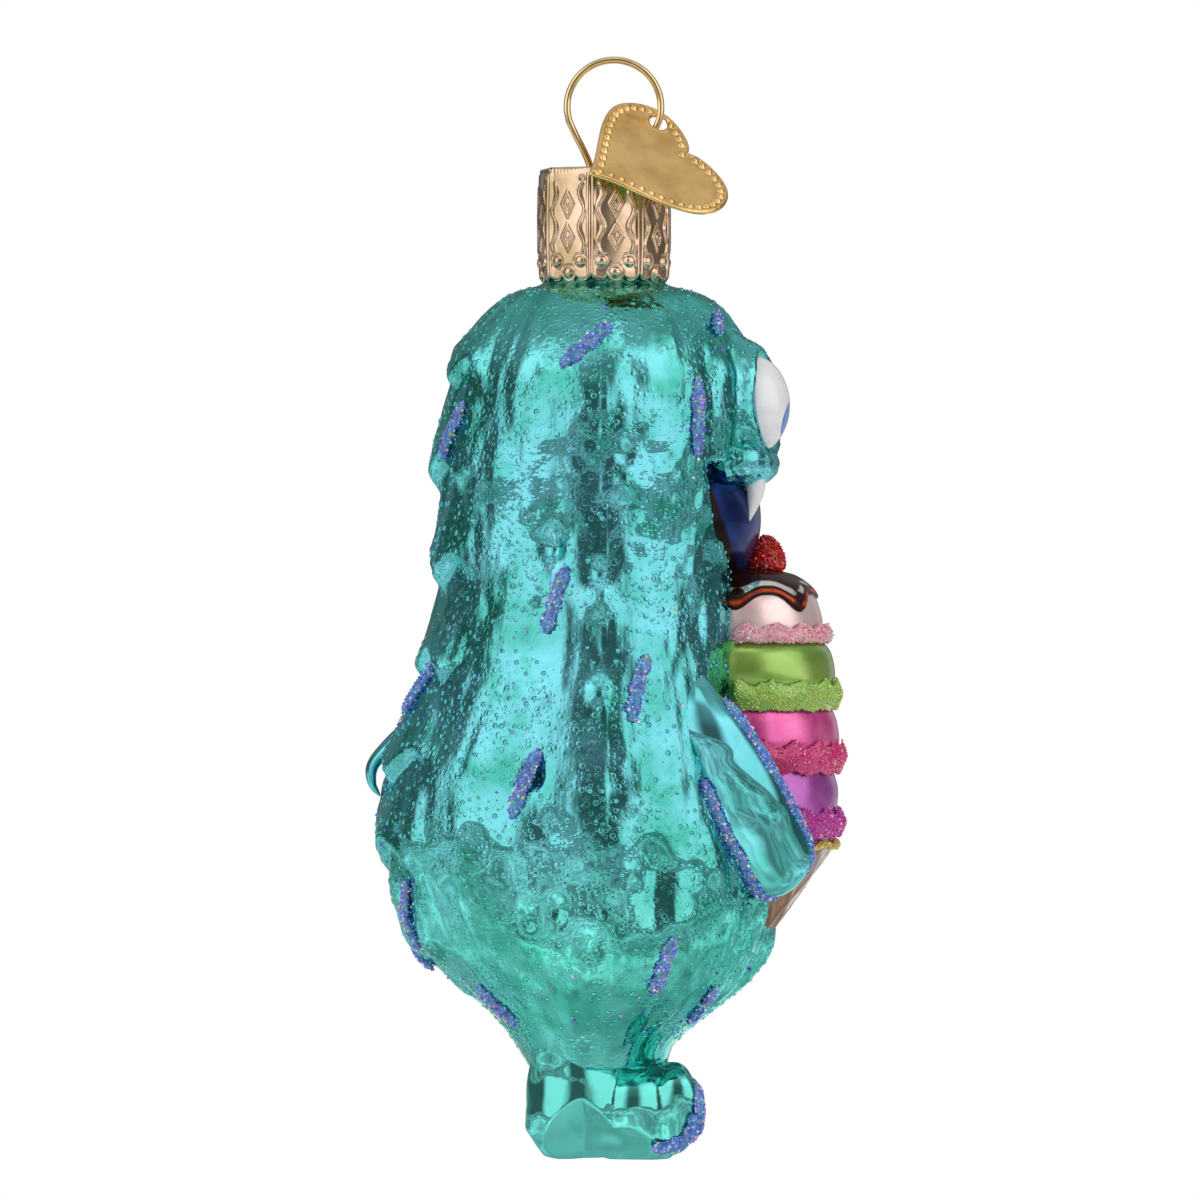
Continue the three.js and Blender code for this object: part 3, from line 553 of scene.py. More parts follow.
# %% Teal mirror material
def teal_mirror(name, bubbles=0.0, strands=0.0, stains=0.5, roughness=0.05):
    """Silvered glass in teal lacquer, with so much of the bubbles, the fine fur strands and the stains."""
    material, tree, shader = new_paint(name)
    place = own_place(tree)
    level = add(tree, "ShaderNodeSeparateXYZ", {0: place}).outputs[2]
    greener = math_node(tree, "MAXIMUM", between(tree, level, green_belly),
                        between(tree, level, green_crown, 0.8))
    blotches = plus(tree, times(tree, clouds(tree, place, 95.0, 4.0, Roughness=0.6), 0.6),
                    times(tree, clouds(tree, place, 330.0, 3.0, Distortion=0.6), 0.4))
    stained = times(tree, ramp(tree, blotches, [(0.43, 0), (0.60, 1)]), stains)
    tint = mix_colours(tree, stained, mix_colours(tree, greener, teal_blue, teal_green), teal_stain)
    fine = clouds(tree, place, 420.0, 3.0)
    dullness = plus(tree, mapped(tree, fine, 0.3, 0.75, roughness * 0.5, roughness * 1.8),
                    between(tree, level, dull_neck, 0.45))
    relief = times(tree, fine, 0.04)
    if bubbles:
        crowded = ramp(tree, clouds(tree, place, 130.0), [(0.42, 0.16), (0.62, 1)])
        domes = plus(tree, bubble_height(tree, place, 1150.0, 0.34),
                     times(tree, bubble_height(tree, place, 1900.0, 0.36), 0.45))
        relief = plus(tree, relief, times(tree, domes, times(tree, crowded, bubbles)))
    if strands:
        long_way = add(tree, "ShaderNodeMapping", {0: place, "Scale": (1, 1, 0.14)}).outputs[0]
        relief = plus(tree, relief, times(tree, clouds(tree, long_way, 900.0), strands))
    bumps = bump(tree, relief, 0.16, 0.55)
    fill(tree, shader, {"Base Color": tint, "Roughness": dullness, "Normal": bumps, "Coat Normal": bumps})
    fill(tree, shader, lacquer)
    return material


fur_glass = teal_mirror("fur_glass", bubbles=1.0, strands=0.6, stains=0.85)
muzzle_glass = teal_mirror("muzzle_glass", bubbles=0.9, strands=0.9, stains=0.9, roughness=0.09)
smooth_glass = teal_mirror("smooth_glass", stains=0.55, roughness=0.03)
print("the fur's glass has", len(fur_glass.node_tree.nodes), "nodes")

# %% [markdown]
# ## The fur shell
#
# The mould's fur hangs in tiers of pointed tufts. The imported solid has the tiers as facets. They could be
# sculpted again by hand, but then they would drift from the solid. So the same rule is read on a fine net,
# 288 points round and 278 up, with what the facets leave out: strands that run together towards each tip,
# soft hollows between them, small knots and pits along the mould's seam, and the seam itself.

# %% The bare figure, as height, reach to the back, reach to the front and half width
figure = [
    (9.0, 7.6, 6.2, 10.0), (11.5, 9.2, 7.4, 12.2), (14.5, 11.6, 11.1, 15.4), (17.5, 15.2, 14.2, 18.4),
    (21.5, 18.6, 16.4, 20.6), (28.0, 21.4, 17.3, 21.5), (36.0, 22.0, 16.2, 21.4), (44.0, 19.6, 14.6, 20.0),
    (52.0, 17.1, 13.8, 18.4), (60.0, 16.4, 14.0, 17.8), (68.0, 16.1, 15.2, 18.0), (75.0, 15.6, 15.6, 18.0),
    (80.0, 14.2, 14.8, 16.6), (84.0, 11.7, 12.5, 13.6), (86.0, 9.5, 9.9, 10.2), (86.7, 7.4, 7.4, 7.4),
]
figure_foot, figure_top = figure[0][0], figure[-1][0]
to_back, to_front, half_width = 1, 2, 3


def skin_point(bearing, height, rise):
    """A point so far off the bare figure; the bearing runs from the front over the left side."""
    front = np.cos(bearing) > 0
    depth = np.where(front, through(figure, to_front, height), through(figure, to_back, height))
    side = through(figure, half_width, height)
    return np.stack([(depth + rise) * np.cos(bearing), (side + rise) * np.sin(bearing),
                     height + 0 * bearing], axis=-1)


def wrapped(angle):
    """An angle brought between minus and plus half a turn."""
    return np.angle(np.exp(1j * angle))


def turns_at(bearing):
    return np.mod(bearing / (2 * np.pi), 1)


print("the figure is", figure_top, "mm high and", 2 * max(row[half_width] for row in figure), "mm wide")

# %% Tufts
tufts_around, tier_count, tier_pitch, crown_drop = 13, 7, 9.6, 11.4
tuft_length, tuft_rise, tuft_rise_behind, tuft_raggedness = 3.4, 0.95, 0.5, 0.9


def tuft_place(bearing, height):
    """For each place: how far down its tuft it is, from 0 to 1, and how far across, from -1 to 1."""
    down, across = np.zeros_like(bearing), np.zeros_like(bearing)
    above = np.full_like(bearing, figure_top)
    for tier in range(tier_count):
        turns = bearing / (2 * np.pi) * tufts_around + (tier % 2) / 2
        beside = 2 * (turns - np.round(turns))
        ragged = lattice_noise(turns_at(bearing), np.full_like(bearing, tier * 1.7), tufts_around, 9)
        lowest = figure_top - crown_drop - tier * tier_pitch
        edge = lowest + tuft_length * np.abs(beside) + tuft_raggedness * ragged
        here = (height >= edge) & (height < above + 1e-9) & (down == 0)
        down = np.where(here, (above - height) / (above - edge), down)
        across = np.where(here, beside, across)
        above = edge
    return np.clip(down, 0, 1), across


def full_rise(bearing):
    """The tufts stand out at the back and run almost flat on the flanks and under the face."""
    backward = np.maximum(0, -np.cos(bearing))
    return (tuft_rise + tuft_rise_behind * backward) * (0.04 + 0.96 * smooth_step(backward, 0.74, 0.97))


print(tufts_around * tier_count, "tufts in", tier_count, "tiers")

# %% Knots and pits, as forward, height, radius and rise
seam_marks = [(2.1, 67.3, 1.5, 0.55), (2.1, 69.6, 0.9, -0.45), (-0.4, 55.4, 1.6, 0.6),
              (-0.4, 58.0, 0.9, -0.5), (-0.6, 46.6, 1.0, 0.55), (-0.6, 49.0, 1.2, -0.35),
              (-1.4, 18.6, 1.3, 0.55), (-1.6, 21.4, 1.7, -0.7)]
fur_pits = [(-5.0, 60.6, 1.15, -1.2), (-7.0, 38.3, 1.0, -0.9), (-7.6, 24.6, 1.0, -0.55),
            (-4.6, 25.4, 0.8, -0.6), (5.6, 29.4, 1.5, -0.4), (-6.8, 51.5, 2.3, -0.45),
            (3.2, 77.0, 1.6, -0.4), (9.2, 53.0, 1.8, -0.35)]


def marks_relief(bearing, height):
    total = np.zeros_like(bearing)
    for forward, level, radius, rise in seam_marks + fur_pits:
        depth = through(figure, to_front if forward > 0 else to_back, level)
        for side in sides.values():
            gap = wrapped(bearing - side * math.acos(forward / depth)) * through(figure, half_width, level)
            total += rise * bump_at(gap, radius) * bump_at(height - level, 1.35 * radius)
    return total


print(len(seam_marks) + len(fur_pits), "knots and pits on each flank")

# %% Relief of the face
eye_centre, eye_sizes = (14.4, 4.3, 74.9), (4.1, 3.8, 5.1)
mouth_edge = [(54.8, 14.9), (57.5, 13.3), (61.0, 12.0), (65.5, 10.8), (69.0, 10.1)]
mouth_depth = 3.6


def face_relief(bearing, height):
    """A furry rim round each eye, and the hollow in which the painted mouth sits."""
    forward = through(figure, to_front, height) * np.cos(bearing)
    apart = through(figure, half_width, height) * np.abs(np.sin(bearing))
    off_eye = np.hypot((apart - eye_centre[1]) / eye_sizes[1], (height - eye_centre[2]) / eye_sizes[2])
    cheek = 1.25 + 0.75 * smooth_step(np.abs(height - eye_centre[2]), 0.5, 4.0)
    rim = cheek * bump_at(off_eye - 1.12, 0.2) * smooth_step(np.cos(bearing), 0.3, 0.6)
    inside = smooth_step(forward - through(mouth_edge, 1, height), 0.0, 1.3)
    open_between = smooth_step(height, 54.5, 57.0) * (1 - smooth_step(height, 67.5, 69.5))
    return rim - mouth_depth * inside * open_between


print("the mouth is sunk", mouth_depth, "mm")

# %% The whole relief; each noise has its swell, the height of its cells, its cells round and its seed
fur_noise = {"strand": (0.17, 8.5, 58, 31), "hair": (0.07, 5.0, 118, 7), "wide hollow": (0.36, 7.5, 22, 3),
             "small hollow": (0.20, 3.4, 38, 5), "blot": (0.075, 1.7, 76, 17), "finger": (0.62, 6.5, 34, 51)}
tuft_swell, parting_rise, flank_calm, sunk_by, seam_rise, seam_width = 1.25, 0.035, 0.60, 0.2, 0.10, 0.22


def fur_relief(bearing, height):
    """How far the finished fur stands off the bare figure."""
    uneven_by = {kind: swell * lattice_noise(turns_at(bearing), height / cell, around, seed)
                 for kind, (swell, cell, around, seed) in fur_noise.items()}
    down, across = tuft_place(bearing, height)
    lip = 1 - smooth_step(down, 0.80, 1.0)
    tufts = full_rise(bearing) * tuft_swell * down ** 1.3 * lip
    parting = parting_rise * np.cos(np.pi * 3.5 * across / (1 - 0.45 * down)) * lip
    hairy = 0.3 + 0.7 * smooth_step(np.abs(np.cos(bearing) + 0.08), 0.35, 0.75)
    combed = (parting + uneven_by["strand"] + uneven_by["hair"]) * hairy
    flank = 1 - smooth_step(np.abs(np.cos(bearing)), 0.45, 0.80)
    hollows = uneven_by["wide hollow"] + uneven_by["small hollow"]
    hollows = hollows * (1 - flank_calm * flank * smooth_step(height, 30.0, 38.0))
    belly = smooth_step(height, 12.0, 18.0) * (1 - smooth_step(height, 29.0, 36.0))
    soft = combed + hollows + uneven_by["blot"] + belly * uneven_by["finger"] - sunk_by
    calm = smooth_step(height, figure_foot, figure_foot + 5) * (1 - smooth_step(height, 84.5, figure_top))
    seam = seam_rise * bump_at((np.abs(wrapped(bearing)) - np.pi / 2) * 18.0, seam_width)
    return tufts + (soft + marks_relief(bearing, height)) * calm + seam + face_relief(bearing, height)


print(len(fur_noise), "kinds of unevenness")

# %% Fur shell mesh, with the neck and the hollow inside; the neck's profile is height and radius
neck_radius, neck_bore, neck_top, glass_wall = 5.52, 4.52, 97.8, 1.3
neck_profile = [(86.8, 7.0), (86.95, 6.5), (87.25, 6.05), (88.2, 5.92), (88.8, 5.6), (89.4, neck_radius),
                (97.3, neck_radius), (97.65, 5.4), (neck_top, 5.15), (neck_top, 4.8), (97.6, 4.58),
                (97.2, neck_bore), (86.2, neck_bore), (85.5, 4.8), (85.0, 6.0), (84.7, 7.6)]
fur_columns, fur_rows, hollow_rows, hollow_top = 288, 278, 40, 84.0
bearings = turns_of(fur_columns)
grid_bearing, grid_height = np.meshgrid(bearings, np.linspace(figure_foot, figure_top, fur_rows))
fur_rings = skin_point(grid_bearing, grid_height, fur_relief(grid_bearing, grid_height))
hollow_levels = np.linspace(hollow_top, figure_foot + glass_wall, hollow_rows)
hollow_bearing, hollow_height = np.meshgrid(bearings, hollow_levels)
sunk = np.minimum(0.0, face_relief(hollow_bearing, hollow_height))
hollow_rings = skin_point(hollow_bearing, hollow_height, sunk - glass_wall)
shell_rings = np.concatenate([fur_rings, turned_rings(neck_profile, fur_columns), hollow_rings])
dress(skin_object("fur_shell", shell_rings), fur_glass, stands_for=["glass_body"])

# %% [markdown]
# ## Legs, feet and toes
#
# These are smooth blown forms that run into each other. A Boolean union would leave sharp meeting lines, so
# each leg is a flared column, a foot and three toes joined by a voxel remesh and then relaxed, which rounds
# every meeting line as the glass does. A facet lies along the outer sole and another at the heel. The soles
# stay flat, because points below the floor plane are moved back onto it afterwards.

# %% Joined and softened forms
def ball_rings(centre, sizes, columns=40, rows=24):
    """Rings of a ball or an egg, from its middle and its three half sizes."""
    tilt = np.linspace(-np.pi / 2, np.pi / 2, rows)[1:-1, None]
    turn = turns_of(columns)
    unit = [np.cos(tilt) * np.cos(turn), np.cos(tilt) * np.sin(turn), np.sin(tilt) + 0 * turn]
    return np.stack(unit, axis=-1) * np.array(sizes) + np.array(centre)


def as_plain_mesh(piece):
    """Keeps what a piece's modifiers make as its own mesh, and takes the modifiers off."""
    evaluated = piece.evaluated_get(bpy.context.evaluated_depsgraph_get())
    fresh = bpy.data.meshes.new_from_object(evaluated)
    old = piece.data
    piece.modifiers.clear()
    piece.data = fresh
    bpy.data.meshes.remove(old)
    return piece


def settle(piece, *modifiers):
    """Applies modifiers, each given as a kind and its options, and shades the result smoothly."""
    for kind, options in modifiers:
        modifier = piece.modifiers.new(kind.lower(), kind)
        for name, value in options.items():
            setattr(modifier, name, value)
    as_plain_mesh(piece)
    piece.data.polygons.foreach_set("use_smooth", [True] * len(piece.data.polygons))
    return piece


def voxels(millimetres):
    return "REMESH", {"mode": "VOXEL", "voxel_size": millimetres / 1000, "use_smooth_shade": True}


def relaxed(rounds):
    return "SMOOTH", {"iterations": rounds, "factor": 0.5}


def points_of(piece):
    """A piece's points, in figure millimetres."""
    places = np.empty(len(piece.data.vertices) * 3)
    piece.data.vertices.foreach_get("co", places)
    return places.reshape(-1, 3) * 1000 + np.array([loop_forward, 0.0, hang_height])


def move_points(piece, points):
    piece.data.vertices.foreach_set("co", in_row(points).reshape(-1))


def uneven(piece, amount, per_metre):
    """Lets a blown surface swell and sink a little, along its normals."""
    for vertex, normal in zip(piece.data.vertices, [v.normal.copy() for v in piece.data.vertices]):
        vertex.co += normal * noise.noise(vertex.co * per_metre) * amount / 1000
    return piece


print("tools for blown forms ready")

# %% Legs; the column's profile is height and swell
leg_forward, leg_apart, leg_radius, leg_columns = -2.6, 5.2, 4.7, 40
leg_profile = [(0.0, -2.4), (0.25, -1.3), (0.8, -0.5), (1.6, 0.1), (2.8, 0.45), (4.2, 0.5), (6.5, 0.3),
               (9.0, 0.05), (11.5, -0.1), (13.5, 0.1), (15.0, 0.5)]
foot_centre, foot_sizes = (3.2, 0.0, 4.4), (5.2, 4.3, 5.6)
toe_forward, toe_apart, toe_height, toe_sizes = 7.1, 2.7, 4.7, (2.3, 1.55, 4.3)


def leg_forms(side):
    """A flared column, a foot and three toes, before they are moved out to their side."""
    square = 1 + 0.02 * np.cos(4 * turns_of(leg_columns))
    column = [level_ring(leg_forward, (leg_radius + swell) * square, level, leg_columns)
              for level, swell in leg_profile]
    toes = [ball_rings((toe_forward - 0.05 * abs(place), side * place * toe_apart, toe_height), toe_sizes)
            for place in (-1, 0, 1)]
    return [np.array(column), ball_rings(foot_centre, foot_sizes), *toes]


def faceted(leg, side):
    """Presses the outer sole and the heel flat, along two sloping planes."""
    points = points_of(leg)
    forward, outer, level = mirrored_to(side, points).T
    sole_height = 5.3 - 0.34 * np.abs(forward + 2.0)
    past_sole = (outer - 9.7) * 0.84 + (sole_height - level) * 0.545
    past_heel = (-5.4 - forward) * 0.8 + (3.4 - level) * 0.6 - 2.3
    for past, direction in ((past_sole, (0, 0.84 * side, -0.545)), (past_heel, (-0.8, 0, -0.6))):
        points -= np.maximum(0, past)[:, None] * np.array(direction)
    move_points(leg, points)
    return leg


for side_name, side in sides.items():
    forms = [form + np.array([0, side * leg_apart, 0]) for form in leg_forms(side)]
    leg = uneven(settle(skin_object("leg_" + side_name, *forms), voxels(0.2), relaxed(7)), 0.16, 330.0)
    uneven(settle(faceted(leg, side), relaxed(12)), 0.42, 240.0)
    move_points(leg, np.maximum(points_of(leg), [-np.inf, -np.inf, 0]))
    dress(leg, smooth_glass)

# %% [markdown]
# ## Arms
#
# Each arm is a flat glossy band from the shoulder to a round hand beside the cone. A flattened box could be
# bent along a curve, but a smooth line through a few places says the same with fewer steps. It carries an
# oval section that grows to the wrist and closes over the hand, and turns a little forward on the way.

# %% Arms, as forward, outward, height and radius
arm_table = [(7.6, 12.2, 48.6, 1.6), (9.6, 14.6, 44.0, 3.0), (12.2, 14.4, 39.6, 3.5), (15.0, 12.6, 34.4, 3.6),
             (17.4, 9.8, 30.0, 3.4), (18.7, 7.8, 27.2, 2.9)]
arm_flatness, hand_from, arm_columns = 0.72, 0.8, 72
broader_by, broader_toward = 0.5, np.array([0.88, 0, 0.48])


def arm_rings(side, count=90):
    share = np.linspace(0, 1, count)
    line = spline(arm_table, count)
    broader = broader_by * smooth_step(share, 0.3, 0.6)
    path = mirrored_to(side, line[:, :3] - broader[:, None] * broader_toward)
    forward = 0.08 + 0.36 * smooth_step(share, 0.45, 0.8)
    outward_face = np.stack([forward, np.full(count, side), np.zeros(count)], axis=1)
    past_wrist = np.clip((share - hand_from) / (1 - hand_from), 0, 0.995)
    wide = (line[:, 3] + broader) * np.sqrt(1 - past_wrist ** 2)
    return tube_rings(path, outward_face, wide, wide * arm_flatness, arm_columns)


for side_name, side in sides.items():
    arm = settle(skin_object("arm_" + side_name, arm_rings(side)), relaxed(3))
    dress(uneven(arm, 0.18, 260.0), smooth_glass)

# %% [markdown]
# ## Enamel and lacquer
#
# The eyes, mouth, fangs and sauce are painted with thick glossy enamel, and the scoops with clear lacquer
# over silver, which reads as pearl. Each could have a material of its own, but one recipe makes them all: how
# metallic it is, and two close colours that a soft cloud of noise mixes, as a brush leaves them.

# %% Painted finishes
def painted(name, light, dark, metallic=0.0, roughness=0.2, cloud_scale=240.0, coat=0.7):
    material, tree, shader = new_paint(name)
    place = own_place(tree)
    cloud = clouds(tree, place, cloud_scale, 4.0)
    fill(tree, shader, {
        "Base Color": mix_colours(tree, ramp(tree, cloud, [(0.38, 0), (0.62, 1)]), light, dark),
        "Roughness": mapped(tree, cloud, 0.0, 1.0, roughness * 0.8, roughness * 1.25),
        "Normal": bump(tree, clouds(tree, place, 1300.0, 3.0), 0.02),
        "Metallic": metallic, "Coat Weight": coat, "Coat Roughness": 0.05})
    return material


white_enamel = painted("white_enamel", (0.80, 0.80, 0.79), (0.74, 0.74, 0.75), roughness=0.25)
sauce_enamel = painted("sauce_enamel", (0.010, 0.003, 0.002), (0.026, 0.005, 0.003), roughness=0.06,
                       coat=0.05)
cone_paint = painted("waffle_brown", (0.30, 0.15, 0.045), (0.19, 0.085, 0.028), metallic=0.35, roughness=0.3)
pearls = [("rose_pearl", (0.80, 0.53, 0.51), (0.84, 0.66, 0.63), 0.55, 0.24),
          ("lime_pearl", (0.20, 0.38, 0.05), (0.30, 0.48, 0.09), 0.55, 0.2),
          ("pink_pearl", (0.72, 0.06, 0.30), (0.86, 0.18, 0.46), 0.5, 0.2),
          ("purple_pearl", (0.38, 0.04, 0.36), (0.56, 0.15, 0.56), 0.5, 0.2)]
scoop_paints = [painted(*pearl) for pearl in pearls]
print(3 + len(pearls), "painted finishes")

# %% [markdown]
# ## Face
#
# The photograph shows the face only from the side, so its front is a plain guess: two round eyes that look
# ahead, a furry muzzle over an open mouth, and two fangs. The muzzle is two swollen forms melted together,
# like the legs. The iris could be a disc of its own, but on the real glass it is only paint, so its rings are
# colour by distance from the line on which each eye looks.

# %% Muzzle
def block_rings(centre, sizes, boxy=4.0):
    """A ball that is square-ended along Y: its sides stay broad almost to their ends."""
    rings = ball_rings((0, 0, 0), (1, 1, 1), 96, 48)
    for _ in range(3):
        swollen = rings[..., 0] ** 2 + np.abs(rings[..., 1]) ** boxy + rings[..., 2] ** 2
        rings = rings / swollen[..., None] ** 0.4
    return rings * np.array(sizes) + np.array(centre)


cheeks = ball_rings((9.6, 0.0, 70.2), (7.2, 10.6, 4.0), 96, 48)
snout = block_rings((12.9, 0.0, 69.2), (4.4, 10.2, 2.8))
muzzle = settle(skin_object("muzzle", cheeks, snout), voxels(0.18), relaxed(4))
dress(uneven(uneven(muzzle, 0.30, 330.0), 0.22, 1300.0), muzzle_glass)

# %% Mouth
border_lean, border_reach = 0.344, 0.0060
mouth_enamel = painted("mouth_enamel", (0.020, 0.055, 0.26), (0.008, 0.020, 0.10), metallic=0.75,
                       cloud_scale=170.0, coat=0.02)


def darken_the_border(material):
    """Turns the navy enamel dark brown, almost black, along its border with the fur."""
    tree, shader, navy = reopened(material)
    forward, _, level = add(tree, "ShaderNodeSeparateXYZ", {0: own_place(tree)}).outputs
    inward = plus(tree, plus(tree, forward, times(tree, level, border_lean)), border_reach)
    border = ramp(tree, times(tree, inward, 100.0), [(0.08, 1), (0.13, 0)])
    darkened = mix_colours(tree, border, navy, (0.012, 0.006, 0.004))
    fill(tree, shader, {"Base Color": darkened, "Specular IOR Level": 0.2})


darken_the_border(mouth_enamel)
mouth_rings = ball_rings((6.5, 0.0, 63.6), (9.2, 12.6, 9.2), 96, 60)
mouth_rings[..., 1] *= 1 - 0.25 * smooth_step(mouth_rings[..., 2], 66.5, 68.5)
dress(skin_object("open_mouth", mouth_rings), mouth_enamel)

# %% Fangs
fang_count = 26
fang_line = spline([(15.0, 6.2, 68.2), (15.05, 6.2, 66.4), (14.75, 6.2, 64.8), (14.3, 6.2, 63.1)], fang_count)
fang_width = 1.0 * (1 - np.linspace(0, 1, fang_count) ** 1.7) + 0.05
fang_sets = [tube_rings(mirrored_to(side, fang_line), (0.0, side, 0.0), fang_width, fang_width * 0.9, 24)
             for side in sides.values()]
dress(skin_object("fangs", *fang_sets), white_enamel)

# %% Colours of the eyes
look_height, iris_radius, iris_from = 73.5, 3.3, 16.5
pupil, iris_light, iris_dark = (0.004, 0.004, 0.008), (0.06, 0.27, 0.80), (0.02, 0.08, 0.36)
iris_stops = [(0.0, pupil), (0.26, pupil), (0.29, (0.03, 0.16, 0.62)), (0.50, iris_light), (0.54, iris_dark),
              (0.565, iris_dark)]
blue_rim_and_shade, rim_from, rim_bends_below, rim_bend = (0.16, 0.42, 0.80), 15.0, 76.0, 40.0
eye_enamel = painted("eye_enamel", (0.82, 0.82, 0.82), (0.78, 0.78, 0.79), roughness=0.15, coat=1.0)


def paint_iris(material):
    """Adds an iris and a pupil round the line of sight, and a blue rim where the eye meets the fur: partly a
    painted outline, partly painted shade.
    """
    tree, shader, enamel = reopened(material)
    forward, sideways, level = add(tree, "ShaderNodeSeparateXYZ", {0: own_place(tree)}).outputs
    aside = math_node(tree, "SUBTRACT", math_node(tree, "ABSOLUTE", sideways), eye_centre[1] / 1000)
    upward = math_node(tree, "SUBTRACT", level, level_at(look_height))
    squared = plus(tree, times(tree, aside, aside), times(tree, upward, upward))
    off_sight = times(tree, math_node(tree, "SQRT", squared), 1000.0 / iris_radius)
    in_iris = times(tree, math_node(tree, "LESS_THAN", off_sight, 0.57),
                    math_node(tree, "GREATER_THAN", forward, forward_at(iris_from)))
    tint = mix_colours(tree, in_iris, enamel, ramp(tree, off_sight, iris_stops))
    # The blue rim is partly a painted outline and partly painted shade, along the fur's rim round the eye.
    below = math_node(tree, "MAXIMUM", math_node(tree, "SUBTRACT", level_at(rim_bends_below), level), 0.0)
    bend = times(tree, times(tree, below, below), rim_bend)
    in_rim_and_shade = math_node(tree, "LESS_THAN", math_node(tree, "SUBTRACT", forward, bend), forward_at(rim_from))
    fill(tree, shader, {"Base Color": mix_colours(tree, in_rim_and_shade, tint, blue_rim_and_shade)})


paint_iris(eye_enamel)
print("the pupil reaches", round(0.26 * iris_radius, 2), "mm from the line of sight")

# %% Eyes
eye_sets = [ball_rings(mirrored_to(side, eye_centre), eye_sizes, 72, 48) for side in sides.values()]
dress(skin_object("eyes", *eye_sets), eye_enamel)

# %% [markdown]
# ## Ice cream
#
# Four scoops, a cone, a sauce and a cherry, all turned round one upright line before the chest. The profile
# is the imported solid's table, read on a fine curve. The cone's waffle could be a bump, but its ribs show in
# the outline, so they are real relief: two families of ribs that wind opposite ways.

# %% Scoops, from the profile of the ice cream as height and radius
ice_axis = 14.3
ice_table = [(58.7, 1.6), (58.0, 4.4), (56.2, 6.6), (53.6, 7.6), (51.6, 7.7), (50.2, 8.5), (47.8, 8.9),
             (45.0, 8.5), (43.4, 9.0), (41.2, 9.2), (38.6, 8.8), (36.6, 9.1), (33.6, 9.0), (31.6, 8.7),
             (30.6, 8.5), (22.0, 2.4), (19.4, 0.7)]
scoops = [("scoop_top", 58.65, 51.4, "rose_glitter"), ("scoop_second", 51.5, 45.3, "lime_glitter"),
          ("scoop_third", 45.4, 39.2, "pink_glitter"), ("scoop_lowest", 39.3, 31.4, "magenta_glitter")]


def ice_radius(height):
    return through(ice_table[::-1], 1, height)


def scoop_rings(top, low, seed, columns=144):
    """A scoop between two heights: the turned profile with the soft dents of a spoon."""
    rings = []
    for height in np.linspace(low, top, 44):
        dents = 0.10 * lattice_noise(np.arange(columns) / columns, np.full(columns, height / 2.6), 9, seed)
        rings.append(level_ring(ice_axis, ice_radius(height) + dents - 0.05, height, columns))
    return np.array(rings)


for i, (name, top, low, colour) in enumerate(scoops):
    dress(skin_object(name, scoop_rings(top, low, 20 + i)), scoop_paints[i])

# %% Cone
cone_columns, cone_ribs, rib_wind, rib_height = 180, 6, 0.62, 0.16
cone_rings = []
for height in np.linspace(19.45, 31.5, 110):
    turn, wind = cone_ribs * turns_of(cone_columns), height * rib_wind
    ribs = np.maximum(np.abs(np.cos(turn + wind)), np.abs(np.cos(turn - wind))) ** 10
    radius = ice_radius(height)
    ribbed = radius - rib_height + rib_height * ribs * min(1, radius / 3)
    cone_rings.append(level_ring(ice_axis, ribbed, height, cone_columns))
dress(skin_object("cone", np.array(cone_rings)), cone_paint)

# %% [markdown]
# ## Sauce
#
# A dark sauce runs over the top scoop in uneven drips. A fluid simulation could pour it, but it would not
# stop at the imported size. So its rings follow the scoop, and the lower they are, the more they follow the
# drips. Each point keeps how near the edge it is, and the colour uses that: the enamel thins to red at the
# edge, in a line that is partly a painted reflection of the scoop below, and a broken band of painted
# highlight runs along the swelling: white paint, made metallic.

# %% Form of the sauce
sauce_top, sauce_edge, sauce_drip, sauce_drips, sauce_over = 58.9, 56.0, 1.9, 7, 0.45
sauce_columns, sauce_shares = 196, np.linspace(0.03, 1, 34)
swell_from, swell_squared = 0.82, 0.0325
turn = turns_of(sauce_columns)
ahead = 1 - smooth_step(np.abs(wrapped(turn)), 0.30, 0.75)
drips = np.abs(np.cos((turn + 0.82) * sauce_drips / 2)) ** 3
drips = drips * (0.9 + 0.35 * np.cos(turn * 3 + 0.8)) * (1 - 0.8 * ahead)
sauce_rings = []
for share in sauce_shares:
    bend = 1 - math.cos(share * math.pi / 2)
    level = sauce_top + (sauce_edge - sauce_drip * drips - sauce_top) * bend
    dome = ice_radius(sauce_edge) * 1.2 * math.sin(share * math.pi / 2) + 0.4
    lift = sauce_over * math.sqrt(1 - max(0, share - swell_from) ** 2 / swell_squared)
    radius = np.minimum(ice_radius(level) + lift, dome)
    sauce_rings.append(level_ring(ice_axis, radius, level, sauce_columns))
under = level_ring(ice_axis, radius * 0.6, level, sauce_columns)
sauce = skin_object("sauce", np.array(sauce_rings + [under]))
near_edge = sauce.data.attributes.new("near_edge", "FLOAT", "POINT")
shares = np.concatenate([np.repeat(sauce_shares, sauce_columns), np.ones(sauce_columns), [0.0, 1.0]])
near_edge.data.foreach_set("value", shares)
print("the sauce hangs down to", round(float(level.min()), 2), "mm")

# %% Colour of the sauce
tree, shader, brown = reopened(sauce_enamel)
edge = add(tree, "ShaderNodeAttribute", attribute_name="near_edge").outputs["Fac"]
broken = clouds(tree, own_place(tree), 420.0)
